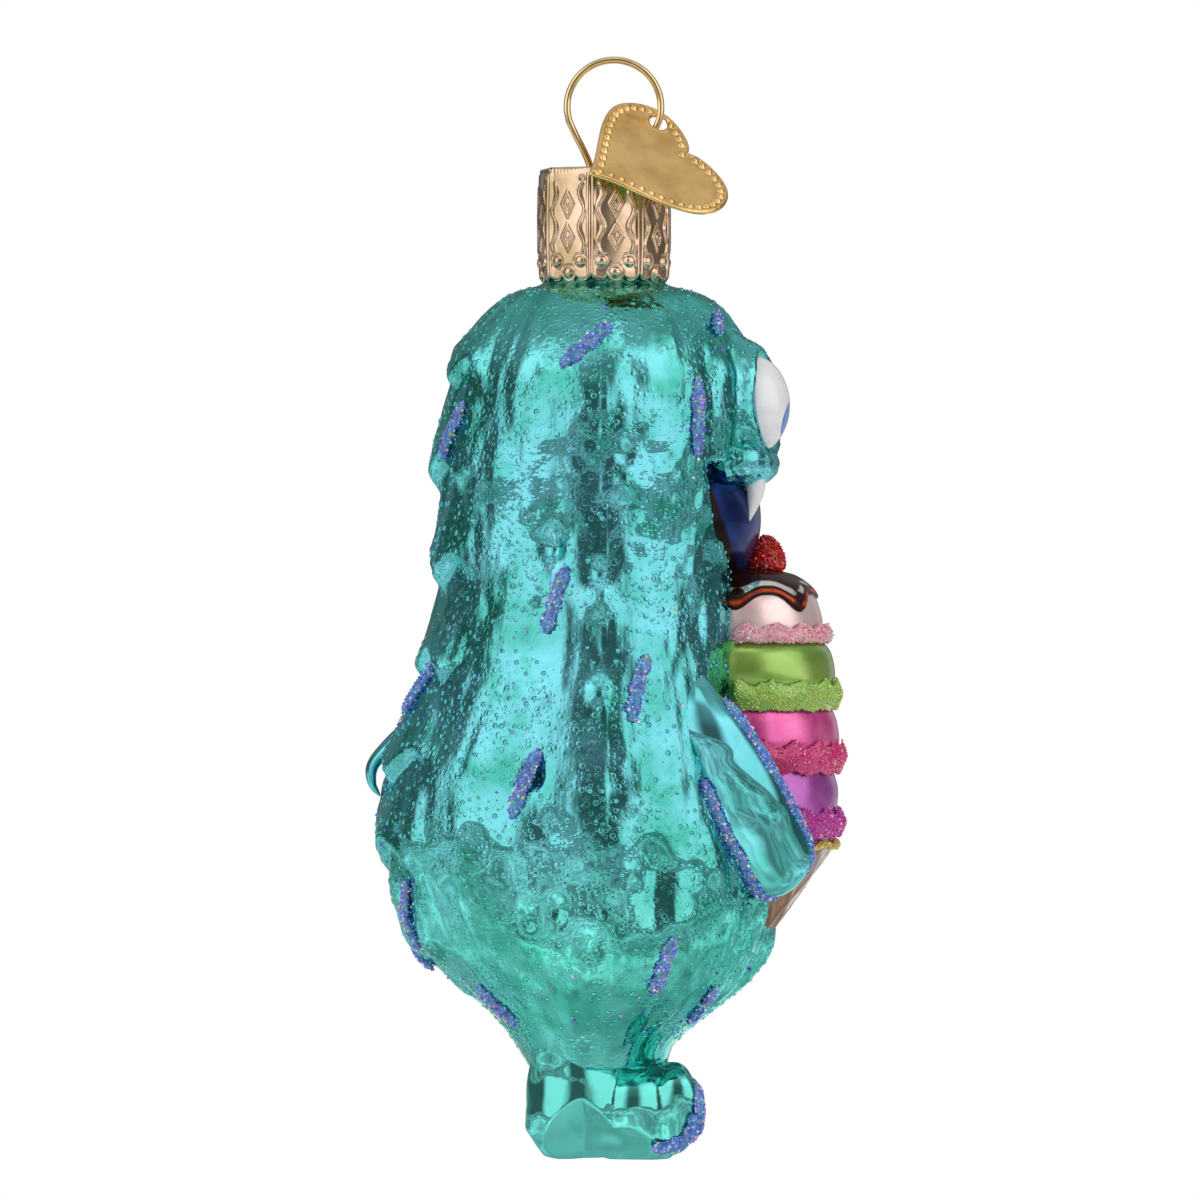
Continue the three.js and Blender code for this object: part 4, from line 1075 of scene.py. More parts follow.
# The red line at the edge is thin enamel, and partly a painted reflection of the scoop below it. Above it, a
# broken band of white paint, made metallic, is a painted highlight.
thin = times(tree, ramp(tree, edge, [(0.84, 0), (0.89, 1), (0.90, 1), (0.95, 0)]),
             ramp(tree, broken, [(0.42, 0), (0.56, 1)]))
painted_highlight = times(tree, ramp(tree, edge, [(0.66, 0), (0.70, 1), (0.77, 1), (0.80, 0)]),
              ramp(tree, broken, [(0.50, 0), (0.56, 1)]))
warm = mix_colours(tree, thin, brown, (0.62, 0.07, 0.015))
with_painted_highlight = mix_colours(tree, painted_highlight, warm, (0.85, 0.80, 0.76))
fill(tree, shader, {"Base Color": with_painted_highlight, "Metallic": painted_highlight, "Specular IOR Level": 0.12})
dress(sauce, sauce_enamel)

# %% [markdown]
# ## Tail tuft
#
# Low on the back, one tuft of the mould ends in a clear hook. It could be pulled out of the shell's own net,
# but the net is too coarse for its thin tip. So it is a tube along a short bent line, flat like a lock of
# hair, that narrows to its tip.

# %% Tail tuft
tuft_count = 40
tuft_line = spline([(-19.6, 0, 42.6), (-21.4, 0, 41.0), (-23.1, 0, 39.0), (-23.2, 0, 37.2), (-22.4, 0, 35.9)],
                   tuft_count)
tuft_share = np.linspace(0, 1, tuft_count)
tuft_width = 2.1 * np.sqrt(np.clip(1 - tuft_share ** 2.2, 0.012, 1)) * (1 - 0.35 * tuft_share)
tuft_rings = tube_rings(tuft_line, (-1.0, 0.0, 0.15), tuft_width, tuft_width * 0.42, 32)
dress(skin_object("tail_tuft", tuft_rings), smooth_glass)

# %% [markdown]
# ## Glitter
#
# The lines of glitter are glue drawn on with a fine nozzle and strewn with coloured grains. A sparkling bump
# would be cheaper, but its outline would stay smooth. So each line is a soft ridge of glue with real grains.
# Geometry Nodes strews them: it spreads points at a least distance on the ridge, sets an eight-sided grain on
# each with its own turn and size, and stores a random tone with it. The material turns that tone into a
# colour, as real glitter mixes several foils. Where the tone is missing, the surface is the glue itself.

# %% Helpers for Geometry Nodes
def new_group(name, *inputs):
    """A group with a geometry in and out, a material, and named inputs, each a name, a type and a value."""
    tree = bpy.data.node_groups.new(name, "GeometryNodeTree")
    tree.interface.new_socket("Geometry", in_out="INPUT", socket_type="NodeSocketGeometry")
    for label, kind, value in inputs:
        socket = tree.interface.new_socket(label, in_out="INPUT", socket_type="NodeSocket" + kind)
        socket.default_value = value
    tree.interface.new_socket("Material", in_out="INPUT", socket_type="NodeSocketMaterial")
    tree.interface.new_socket("Geometry", in_out="OUTPUT", socket_type="NodeSocketGeometry")
    return tree, add(tree, "NodeGroupInput").outputs


def random_between(tree, low, high, seed, kind="FLOAT"):
    """A random number, or three of them, for each point."""
    low_socket, high_socket, output = {"FLOAT": (2, 3, 1), "FLOAT_VECTOR": (0, 1, 0)}[kind]
    inputs = {low_socket: low, high_socket: high, "Seed": seed}
    return add(tree, "FunctionNodeRandomValue", inputs, data_type=kind).outputs[output]


def spread_points(tree, given, most, **more):
    """Points spread over the given geometry at the given spacing, at most so many in a square metre."""
    inputs = {"Mesh": given["Geometry"], "Distance Min": given["Spacing"], "Density Max": most,
              "Seed": given["Seed"], **more}
    return add(tree, "GeometryNodeDistributePointsOnFaces", inputs, distribute_method="POISSON").outputs


def loose_grains(tree, points, size, radius):
    """An eight-sided grain on each point, with a random turn and a random tone."""
    toned = add(tree, "GeometryNodeStoreNamedAttribute", {
        "Geometry": points, "Name": "tone", "Value": random_between(tree, 0.05, 1.0, 3)},
        data_type="FLOAT", domain="POINT")
    grain = add(tree, "GeometryNodeMeshUVSphere", {"Segments": 4, "Rings": 2, "Radius": radius})
    turn = random_between(tree, (0, 0, 0), (6.28, 6.28, 6.28), 5, "FLOAT_VECTOR")
    return add(tree, "GeometryNodeInstanceOnPoints", {
        "Points": toned.outputs[0], "Instance": grain.outputs[0], "Rotation": turn, "Scale": size}).outputs[0]


def hand_out(tree, geometry, material):
    """Makes instances real, gives all of it one material and ends the group; returns the finished group."""
    real = add(tree, "GeometryNodeRealizeInstances", {0: geometry})
    painted_all = add(tree, "GeometryNodeSetMaterial", {"Geometry": real.outputs[0], "Material": material})
    add(tree, "NodeGroupOutput", {0: painted_all.outputs[0]})
    return tree


def run_group(piece, tree, **values):
    """Runs a Geometry Nodes group on a piece, with its named inputs, and keeps the result as a plain mesh."""
    modifier = piece.modifiers.new("nodes", "NODES")
    modifier.node_group = tree
    for item in tree.interface.items_tree:
        key = item.name.replace(" ", "_").lower()
        if item.in_out == "INPUT" and key in values:
            modifier[item.identifier] = values[key]
    return as_plain_mesh(piece)


print("helpers for groups ready")

# %% Grain strewing tree
def strewing_tree():
    """Keeps the glue and strews grains over it."""
    tree, given = new_group("strewn_grains", ("Spacing", "Float", 0.0002), ("Grain size", "Float", 0.0003),
                            ("Seed", "Int", 1))
    points = spread_points(tree, given, 4.0e7)["Points"]
    least, most = (times(tree, given["Grain size"], share) for share in (0.7, 1.3))
    grains = loose_grains(tree, points, random_between(tree, least, most, 7), 0.5)
    joined = add(tree, "GeometryNodeJoinGeometry")
    for geometry in (given["Geometry"], grains):
        tree.links.new(geometry, joined.inputs[0])
    return hand_out(tree, joined.outputs[0], given["Material"])


strewn_grains = strewing_tree()
print("strewing tree with", len(strewn_grains.nodes), "nodes")

# %% Glitter material
def glitter_paint(name, glue, foils):
    """Metal foils of several colours, spread over the grains' tones, on coloured glue."""
    material, tree, shader = new_paint(name)
    tone = add(tree, "ShaderNodeAttribute", attribute_name="tone").outputs["Fac"]
    stops = [(0.0, glue)] + [(0.02 + 0.98 * share, colour) for share, colour in foils]
    is_grain = math_node(tree, "GREATER_THAN", tone, 0.01)
    spin = math_node(tree, "FRACT", times(tree, tone, 37.0))
    fill(tree, shader, {
        "Base Color": ramp(tree, tone, stops, "CONSTANT"),
        "Metallic": mapped(tree, is_grain, 0.0, 1.0, 0.1, 0.45),
        "Roughness": mapped(tree, spin, 0.0, 1.0, 0.14, 0.42),
        "Thin Film Thickness": 380.0, "Thin Film IOR": 1.45, "Coat Weight": 0.3})
    return material


violet, blue, white_foil = (0.20, 0.14, 0.62), (0.10, 0.20, 0.75), (0.80, 0.80, 0.90)
violet_foils = [(0.0, violet), (0.26, blue), (0.46, (0.40, 0.34, 0.90)), (0.60, (0.20, 0.42, 0.90)),
                (0.74, (0.30, 0.62, 0.85)), (0.82, (0.62, 0.50, 0.92)), (0.88, white_foil),
                (0.94, (0.75, 0.30, 0.55)), (0.965, (0.70, 0.62, 0.20)), (0.985, (0.15, 0.60, 0.35))]
glue_and_foils = {
    "violet_glitter": ((0.08, 0.27, 0.44), violet_foils),
    "rose_glitter": ((0.70, 0.33, 0.38), [
        (0.0, (0.85, 0.42, 0.50)), (0.35, (0.80, 0.22, 0.35)), (0.6, (0.90, 0.62, 0.62)),
        (0.82, white_foil), (0.93, (0.80, 0.50, 0.20))]),
    "lime_glitter": ((0.30, 0.48, 0.10), [
        (0.0, (0.42, 0.65, 0.10)), (0.4, (0.60, 0.78, 0.16)), (0.7, (0.30, 0.60, 0.22)),
        (0.88, (0.85, 0.85, 0.50)), (0.96, (0.85, 0.45, 0.15))]),
    "pink_glitter": ((0.55, 0.03, 0.16), [
        (0.0, (0.78, 0.05, 0.24)), (0.4, (0.90, 0.14, 0.38)), (0.7, (0.60, 0.02, 0.12)),
        (0.88, (0.90, 0.50, 0.62)), (0.96, (0.85, 0.30, 0.10))]),
    "magenta_glitter": ((0.42, 0.03, 0.28), [
        (0.0, (0.60, 0.05, 0.42)), (0.45, (0.75, 0.10, 0.36)), (0.75, (0.45, 0.06, 0.55)),
        (0.9, (0.85, 0.45, 0.70))]),
    "gold_glitter": ((0.42, 0.26, 0.05), [
        (0.0, (0.80, 0.56, 0.12)), (0.4, (0.90, 0.76, 0.20)), (0.7, (0.60, 0.38, 0.08)),
        (0.9, (0.90, 0.88, 0.60))]),
    "red_glitter": ((0.32, 0.01, 0.01), [
        (0.0, (0.55, 0.015, 0.012)), (0.45, (0.75, 0.04, 0.02)), (0.75, (0.35, 0.008, 0.01)),
        (0.93, (0.80, 0.35, 0.30))]),
}
glitters = {name: glitter_paint(name, glue, foils) for name, (glue, foils) in glue_and_foils.items()}
print(len(glitters), "glitter colours")

# %% [markdown]
# ## Glue lines
#
# Each deposit but the glue on the outer toes stands for one or more of the imported solids. The lines on the
# fur and along the arms could be copied from the solids too, but then they would not lie on the finer strands.
# So they are drawn again on the finished fur. The toes' patches, the frills and the cone's rim are copied,
# melted together and relaxed.

# %% Glue lines on the fur, as bearing and height from and to
fur_lines = {
    "crown": (87, 82.7, 107, 78.5), "forehead": (25, 84.0, 36, 81.9), "temple": (53, 77.3, 53, 69.7),
    "nape": (151, 75.0, 159, 69.4), "shoulder": (103, 58.8, 110, 52.2), "flank": (72, 50.2, 79, 43.6),
    "side": (108, 40.8, 114, 34.2), "back": (160, 49.0, 166, 44.2), "rump": (158, 27.7, 168, 20.6),
    "seat": (146, 17.3, 143, 13.4), "hip": (67, 22.4, 70, 16.8), "groin": (38, 17.2, 33, 13.6),
}
left_drop, line_half_width, line_half_height = -2.2, 0.66, 0.40


def fur_line_course(name, side, share, sway=0.0):
    """Bearing and height at a share of the way along a glue line, with a sway in degrees."""
    from_bearing, from_height, to_bearing, to_height = fur_lines[name]
    bearing = side * np.radians(from_bearing + (to_bearing - from_bearing) * share + sway)
    return bearing, from_height + (to_height - from_height) * share + (left_drop if side > 0 else 0)


def rounded_ends(share, power):
    """How broad a line still is from its one end, at -1, to its other, at 1."""
    return np.sqrt(np.maximum(0.05, 1 - np.abs(share) ** power))


def fur_line_rings(index, side, count=40):
    """One glue line down the fur: it sways a little and lies on the strands that it crosses."""
    share = np.linspace(0, 1, count)
    sway = 1.2 * np.sin(share * math.pi) * (1 if index % 2 else 0.5)
    bearing, level = fur_line_course(list(fur_lines)[index], side, share, sway)
    beside = [(0, 0), (0, 0.7), (0, -0.7), (0.035, 0), (-0.035, 0), (0.02, 0.4), (-0.02, -0.4)]
    rise = np.max([fur_relief(bearing + aside, level + step) for aside, step in beside], axis=0)
    path = skin_point(bearing, level, rise + 0.18)
    up = skin_point(bearing, level, rise + 1.0) - path
    ends = rounded_ends(2 * share - 1, 5)
    knots = 1 + 0.16 * np.sin(share * 19 + index) + 0.10 * np.sin(share * 43 + 2 * index)
    return tube_rings(path, up, line_half_width * ends * knots, line_half_height * ends, 20)


def strewn(piece, colour, spacing, size, seed, stands_for=()):
    """Strews glue with grains of one colour, spacing and size in millimetres, and dresses it."""
    run_group(piece, strewn_grains, spacing=spacing / 1000, grain_size=size / 1000, seed=seed,
              material=glitters[colour])
    return dress(piece, glitters[colour], stands_for=stands_for)


def both(*names):
    return [name + "_" + side_name for name in names for side_name in sides]


fur_glue = [fur_line_rings(index, side) for index in range(len(fur_lines)) for side in sides.values()]
strewn(skin_object("fur_line_glitter", *fur_glue), "violet_glitter", 0.32, 0.40, 2,
       both(*[name + "_glitter" for name in fur_lines]))

# %% Glue lines along the arms, as turn from the outer face and where they start and stop
arm_lines = {"upper": (70, 0.18, 0.985), "lower": (-72, 0.40, 0.985)}
fine_count = 180


def arm_line_glue(side, line):
    """One glue line along the edge of an arm; where the arm is still inside the fur, it lies on the fur."""
    turn, start, stop = arm_lines[line]
    rings = arm_rings(side, fine_count)
    column = round((90 - side * turn) / 360 * arm_columns) % arm_columns
    chosen = slice(round(start * fine_count), round(stop * fine_count))
    edge, middle = rings[chosen, column], rings[chosen].mean(1)
    depth, wide = through(figure, to_front, edge[:, 2]), through(figure, half_width, edge[:, 2])
    bearing = np.arctan2(edge[:, 1] / wide, edge[:, 0] / depth)
    on_fur = skin_point(bearing, edge[:, 2], fur_relief(bearing, edge[:, 2]) + 0.12)
    deep = np.hypot(on_fur[:, 0], on_fur[:, 1]) > np.hypot(edge[:, 0], edge[:, 1])
    path = np.where(deep[:, None], on_fur, edge)
    for _ in range(12):
        path[1:-1] = (path[:-2] + 2 * path[1:-1] + path[2:]) / 4
    away = path - middle + np.array([0, 2.0 * side, 0])
    share = np.linspace(-1, 1, len(path))
    knots = 1 + 0.10 * np.sin(share * 17 + turn) + 0.08 * np.sin(share * 41)
    ends = rounded_ends(share, 9)
    return tube_rings(path, away, 0.62 * ends * knots, 0.42 * ends, 20)


arm_glue = [arm_line_glue(side, line) for side in sides.values() for line in arm_lines]
strewn(skin_object("arm_line_glitter", *arm_glue), "violet_glitter", 0.27, 0.38, 14,
       both("arm_upper_glitter", "arm_lower_glitter"))

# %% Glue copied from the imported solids
def glue_from(name, nodes):
    """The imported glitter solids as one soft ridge: merged, remeshed and relaxed."""
    points, faces = [], []
    for node in nodes:
        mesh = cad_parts[node].data
        start = len(points)
        points += [tuple(v.co) for v in mesh.vertices]
        faces += [tuple(start + i for i in p.vertices) for p in mesh.polygons]
    glue = object_from(name, points, faces)
    mesh_tools = bmesh.new()
    mesh_tools.from_mesh(glue.data)
    bmesh.ops.remove_doubles(mesh_tools, verts=mesh_tools.verts, dist=1e-6)
    mesh_tools.to_mesh(glue.data)
    mesh_tools.free()
    return settle(glue, voxels(0.14), relaxed(7))


toe_nodes = both("toe_glitter_1", "toe_glitter_2", "toe_glitter_3")
copied_glue = [
    ("toe_line_glitter", toe_nodes, "violet_glitter", 0.22, 0.33),
    ("frill_top", ["frill_glitter_1"], "rose_glitter", 0.24, 0.30),
    ("frill_second", ["frill_glitter_2"], "lime_glitter", 0.22, 0.28),
    ("frill_third", ["frill_glitter_3"], "pink_glitter", 0.24, 0.26),
    ("frill_lowest", ["frill_glitter_4"], "magenta_glitter", 0.22, 0.30),
    ("cone_rim", ["cone_rim_glitter"], "gold_glitter", 0.20, 0.26),
]
for seed, (name, nodes, colour, spacing, size) in enumerate(copied_glue, start=3):
    strewn(glue_from(name, nodes), colour, spacing, size, seed, nodes)

# %% Glue along the outer toe's lower edge
toe_count = 40
toe_edge = [(8.95, 9.1, 4.6), (8.8, 9.2, 3.2), (8.1, 9.2, 2.1), (6.6, 9.1, 1.35), (4.8, 8.9, 1.15)]
toe_path, toe_up = spline(toe_edge, toe_count), np.array([0.25, 0.85, -0.25])
toe_ends = rounded_ends(np.linspace(-1, 1, toe_count), 7)
toe_knots = 1 + 0.16 * np.sin(np.linspace(0, 21, toe_count))
toe_sets = [tube_rings(mirrored_to(side, toe_path), mirrored_to(side, toe_up), 0.6 * toe_ends * toe_knots,
                       0.5 * toe_ends, 20) for side in sides.values()]
strewn(skin_object("outer_toe_glitter", *toe_sets), "violet_glitter", 0.25, 0.36, 15)

# %% Cherry
cherry_profile = [(58.45, 1.55), (58.7, 1.8), (59.3, 1.88), (60.1, 1.74), (60.9, 1.38), (61.5, 0.9),
                  (61.85, 0.35)]
cherry_axis = ice_axis + 1.9
cherry = skin_object("cherry", turned_rings(cherry_profile, 36, cherry_axis))
strewn(cherry, "red_glitter", 0.26, 0.44, 12, ["cherry_glitter"])

# %% [markdown]
# ## Bubbles and stray grains
#
# The lacquer is full of small bubbles, crowded on the back, at the brow and low on the belly, and sparse on
# the smooth flanks. A bump draws the finest ones, but the larger ones show in the outline, so each is a low
# dome. Grains of glitter also strayed beside the glue lines and onto the belly. One recipe for a Geometry
# Nodes group scatters either of them over the fur, by a crowding value that is worked out here for each point
# of the mesh and stored on it.

# %% Scattering tree
def scattering_tree(name, domed):
    """Scatters low domes, or else loose grains with a random tone, by the mesh's own crowding values."""
    tree, given = new_group(name, ("Spacing", "Float", 0.0005), ("Density", "Float", 1.0e6),
                            ("Largest", "Float", 0.0004), ("Seed", "Int", 1))
    crowd = add(tree, "GeometryNodeInputNamedAttribute", {"Name": "crowd"}, data_type="FLOAT").outputs[0]
    spread = spread_points(tree, given, given["Density"], **{"Density Factor": crowd})
    chance = random_between(tree, 0.35, 1.0, 11)
    size = times(tree, times(tree, chance, chance), given["Largest"])
    if not domed:
        return hand_out(tree, loose_grains(tree, spread["Points"], size, 1.0), given["Material"])
    ball = add(tree, "GeometryNodeMeshIcoSphere", {"Radius": 1.0, "Subdivisions": 1})
    flat = add(tree, "GeometryNodeTransform", {"Geometry": ball.outputs[0], "Scale": (1.0, 1.0, 0.45)})
    dome = add(tree, "GeometryNodeSetShadeSmooth", {"Geometry": flat.outputs[0]})
    domes = add(tree, "GeometryNodeInstanceOnPoints", {
        "Points": spread["Points"], "Instance": dome.outputs[0], "Rotation": spread["Rotation"],
        "Scale": size})
    return hand_out(tree, domes.outputs[0], given["Material"])


def scattered(name, domed, crowding, material, **values):
    """Scatters one kind of form over the fur by crowding values, one for each point of its net."""
    piece = object_from(name, in_row(fur_rings.reshape(-1, 3)), ring_faces(fur_rows, fur_columns))
    crowd = piece.data.attributes.new("crowd", "FLOAT", "POINT")
    crowd.data.foreach_set("value", np.clip(crowding, 0, 1).reshape(-1))
    return run_group(piece, scattering_tree(name, domed), material=material, **values)


print("scattering tools ready")

# %% Bubbles on the fur
bubble_glass = teal_mirror("bubble_glass", stains=0.2, roughness=0.04)
crowd_wave = lattice_noise(turns_at(grid_bearing), grid_height / 6.0, 20, 41)
belly_rows = smooth_step(grid_height, 11.0, 13.0) * (1 - smooth_step(grid_height, 17.0, 20.0))
flanks = 0.30 + 0.70 * smooth_step(np.abs(np.cos(grid_bearing)), 0.30, 0.75) + 0.6 * belly_rows
crowding = np.maximum(flanks + 0.55 * crowd_wave, 0.06) * smooth_step(grid_height, 10.0, 13.0)
fur_bubbles = scattered("fur_bubbles", True, crowding, bubble_glass,
                        spacing=0.0006, density=1.5e6, largest=0.00036, seed=5)
dress(fur_bubbles, bubble_glass)

# %% Stray grains beside the glue lines and low on the belly
stray_reach = 1.9
to_line = np.full(grid_bearing.shape, 99.0)
for name in fur_lines:
    for side in sides.values():
        for bearing, level in zip(*fur_line_course(name, side, np.linspace(0, 1, 9))):
            aside = wrapped(grid_bearing - bearing) * through(figure, half_width, grid_height)
            to_line = np.minimum(to_line, np.hypot(aside, grid_height - level))
straying = (bump_at(to_line, stray_reach) + 0.30 * belly_rows + 0.05) * smooth_step(grid_height, 10.5, 12.0)
stray_glitter = scattered("stray_glitter", False, straying, glitters["violet_glitter"],
                          spacing=0.0004, density=6.0e5, largest=0.00026, seed=8)
dress(stray_glitter, glitters["violet_glitter"])

# %% [markdown]
# ## Cap
#
# The cap is stamped from thin brass: eight petals folded down from a flat top, with a slit between each two.
# Every petal has rolled sides, two wavy ridges, two diamonds, three bosses and a lobed lower edge. A row of
# tiny beads runs round the top edge.
#
# The stamping could be a bump, but the bosses and the lobes show in the outline. So it is real relief, a
# height over the petal's own plane. One ring of points goes round all eight petals, with a few more points in
# each slit. The rings start in the middle of the roof's underside, run down the inside to the scalloped edge,
# up the outside and over the top edge to the middle of the roof.

# %% Metal finishes
def metal(name, light, dark, roughness, along=(1, 1, 0.06), relief=0.012):
    """Polished sheet metal: fine streaks along one direction, and a soft change of tone from handling."""
    material, tree, shader = new_paint(name)
    place = own_place(tree)
    handled = ramp(tree, clouds(tree, place, 260.0, 4.0), [(0.40, 0), (0.64, 1)])
    stretched = add(tree, "ShaderNodeMapping", {0: place, "Scale": along}).outputs[0]
    streaks = clouds(tree, stretched, 900.0, 5.0)
    fill(tree, shader, {
        "Base Color": mix_colours(tree, handled, light, dark), "Metallic": 1.0,
        "Roughness": mapped(tree, streaks, 0.3, 0.7, roughness * 0.7, roughness * 1.5),
        "Normal": bump(tree, streaks, relief)})
    return material


rose_brass = metal("rose_brass", (0.82, 0.58, 0.41), (0.50, 0.36, 0.20), 0.15)
gold_wire_metal = metal("gold_wire_metal", (0.80, 0.60, 0.30), (0.62, 0.44, 0.18), 0.14, along=(1, 1, 1))
brushed_gold = metal("brushed_gold", (0.98, 0.64, 0.26), (0.72, 0.44, 0.15), 0.2, along=(0.12, 1, 1),
                     relief=0.02)
print("three metal finishes")

# %% Sizes of the cap and of its stamping; above is measured from the cap's lower edge
cap_across, cap_height, cap_edge, cap_turn, petal_count = 12.84, 11.6, 87.0, 10.8, 8
cap_top, cap_thick, slit_half = cap_edge + cap_height, 0.28, 0.175
petal_half = cap_across * math.tan(math.pi / petal_count) / 2 - slit_half
lobe_count, lobe_depth = 3, 0.85
roll_inset, roll_width, roll_rise = 0.20, 0.16, 0.16
ridge_from, ridge_length, ridge_inset, ridge_swing, ridge_width, ridge_rise = 3.0, 6.9, 0.85, 0.3, 0.16, 0.24
diamond_levels, diamond_half, diamond_reach = [4.6, 7.9], 0.62, 1.15
diamond_rim, diamond_rim_width, diamond_heart = 0.20, 0.24, 0.16
boss_places, boss_radius, boss_rise = [(-1.42, 2.15), (1.42, 2.15), (0.0, 1.05)], 0.56, 0.30
moat_depth, moat_radius, moat_width = 0.07, 0.66, 0.12
dimple_place, dimple_width, dimple_depth = (1.55, 10.35), 0.07 ** 0.5, 0.22
print("each petal is", round(2 * petal_half, 2), "mm broad")

# %% Relief of one petal
def lower_edge(across):
    """Height of the lobed edge: three round lobes to a petal, the middle one lowest."""
    share = np.clip(across / petal_half / 2 + 0.5, 0, 1)
    lobe = np.sqrt(np.abs(np.sin(share * lobe_count * np.pi)))
    return cap_edge + lobe_depth * (1 - lobe * (1 - 0.45 * np.abs(2 * share - 1)))


def petal_bow(across):
    """How far a petal falls back toward its sides."""
    return 0.30 * (across / petal_half) ** 2


def round_boss(off, radius):
    return np.sqrt(np.clip(1 - (off / radius) ** 2, 0, 1))


def petal_relief(across, above):
    """Height of the stamping over the petal's plane, in millimetres."""
    aside = np.abs(across)
    relief = roll_rise * bump_at(petal_half - roll_inset - aside, roll_width)
    span = np.clip((above - ridge_from) / ridge_length, 0, 1)
    ridge = petal_half - ridge_inset + ridge_swing * np.sin(span * 4 * np.pi)
    shown = smooth_step(above, 2.8, 3.3) * (1 - smooth_step(above, 9.7, 10.2))
    relief = relief + ridge_rise * bump_at(aside - ridge, ridge_width) * shown
    for level in diamond_levels:
        off = aside / diamond_half + np.abs(above - level) / diamond_reach
        relief = (relief + diamond_rim * bump_at(off - 1, diamond_rim_width)
                  + diamond_heart * smooth_step(0.55 - off, 0, 0.5))
    for place, level in boss_places:
        off = np.hypot(across - place, above - level)
        moat = moat_depth * bump_at(off - moat_radius, moat_width)
        relief = relief + boss_rise * round_boss(off, boss_radius) - moat
    off_dimple = np.hypot(across - dimple_place[0], above - dimple_place[1])
    relief = relief - dimple_depth * bump_at(off_dimple, dimple_width)
    return relief - petal_bow(across) - 0.16 * ((above - 6.0) / 6.0) ** 2


print("a boss stands", boss_rise, "mm high")

# %% Places round the cap
petal_steps = np.linspace(-petal_half, petal_half, 41)
slit_steps, slit_fall = petal_half + np.array([0.02, 0.1]), np.array([0.42, 0.5])
across_steps = np.concatenate([-slit_steps[::-1], petal_steps, slit_steps])
slit_depth = np.concatenate([slit_fall[::-1], 0 * petal_steps, slit_fall])
petal_turns = np.radians(cap_turn - 90 + 360 / petal_count * np.arange(petal_count))
face_out = np.repeat(np.stack([np.cos(petal_turns), np.sin(petal_turns)], 1), len(across_steps), axis=0)
face_side = np.stack([-face_out[:, 1], face_out[:, 0]], 1)
across_all, slit_all = np.tile(across_steps, petal_count), np.tile(slit_depth, petal_count)
edge_levels = lower_edge(across_all)


def cap_ring(level, depth, share=1.0):
    """A ring at its heights, so deep behind the petals' planes, and shrunk inward to a share of its size."""
    out = (cap_across / 2 - depth + 0 * across_all)[:, None] * face_out + across_all[:, None] * face_side
    return np.concatenate([out * share, np.broadcast_to(level, across_all.shape)[:, None]], axis=1)


print(len(across_all), "points in each ring of the cap")

# %% Cap mesh, from the middle of its inside out, down, up outside and over the top edge
inside_top, fold_rise = cap_top - 0.5, 0.62
bead_wave = 0.10 * np.maximum(0, np.cos(across_all / 0.42 * 2 * np.pi))
cap_rings = [cap_ring(inside_top, 0.6, share) for share in (0.02, 0.3, 0.7)]
cap_rings.append(cap_ring(cap_top - 0.55, 0.62))
for share in np.linspace(1, 0, 12):
    level = edge_levels + (cap_top - 1.0 - edge_levels) * share
    cap_rings.append(cap_ring(level, cap_thick + petal_bow(across_all) + np.minimum(slit_all, 0.15)))
for share in np.linspace(0, 1, 110):
    level = edge_levels + (cap_top - fold_rise - edge_levels) * share
    slit = slit_all * (1 - smooth_step(level, cap_top - 1.4, cap_top - 0.8))
    round_off = 0.14 * bump_at(share, 0.012)
    cap_rings.append(cap_ring(level, slit + round_off - petal_relief(across_all, level - cap_edge)))
for bend in np.linspace(0.15, 1, 7):
    level = cap_top - fold_rise + fold_rise * math.sin(bend * math.pi / 2)
    depth = 0.16 + 0.55 * (1 - math.cos(bend * math.pi / 2)) + petal_bow(across_all) * (1 - bend)
    cap_rings.append(cap_ring(level, depth - bead_wave * math.sin(bend * math.pi)))
for share in (0.8, 0.5, 0.2, 0.02):
    cap_rings.append(cap_ring(cap_top - 0.10 * (1 - share), 0.71, share))
cap = skin_object("cap", np.array(cap_rings))
print(len(cap_rings), "rings")

# %% Holes for the wire
wire_hole, wire_apart = 0.65, 2.4


def bored(piece, centres, radius, low, high):
    """Cuts round holes upright through a piece."""
    cutter = skin_object("cutter", *[turned_rings([(low, radius), (high, radius)], 32, x) for x in centres])
    settle(piece, ("BOOLEAN", {"operation": "DIFFERENCE", "solver": "MANIFOLD", "object": cutter}))
    bpy.data.objects.remove(cutter)
    return piece


bored(cap, (loop_forward - wire_apart, loop_forward + wire_apart), wire_hole, cap_top - 3, cap_top + 1)
dress(cap, rose_brass, body="cap", stands_for=["crown_cap"])

# %% [markdown]
# ## Hanger
#
# One springy wire makes the loop and both legs. The legs go through the roof of the cap and spread inside the
# neck, which is what holds the cap on. A Blender curve with a round bevel would draw it too, but its ends are
# cut flat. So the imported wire's own line carries rings that close to rounded ends.

# %% Wire
wire_radius, loop_radius, loop_rise, loop_open, wire_count = 0.35, 4.75, 6.2, 30.0, 330
loop_height, leg_end = cap_top + loop_rise, cap_top - 14.1
reach = neck_bore - 0.3 - wire_radius
leg_heights = (cap_top - 4.0, cap_top - 2.0, cap_top + 0.3)
near_leg = [(-reach, 0, leg_end)] + [(loop_forward - wire_apart, 0, level) for level in leg_heights]
far_leg = [(2 * loop_forward - x, 0, level) for x, _, level in reversed(near_leg[1:])] + [(reach, 0, leg_end)]
arc_radius = loop_radius - 0.06
arc = [(loop_forward + arc_radius * math.cos(turn), 0, loop_height + arc_radius * math.sin(turn))
       for turn in np.radians(np.linspace(180 + loop_open, -loop_open, 17))]
wire_line = spline(near_leg + arc + far_leg, wire_count)
past_end = np.clip(np.abs(np.linspace(-1, 1, wire_count)) - 0.994, 0, None) / 0.006
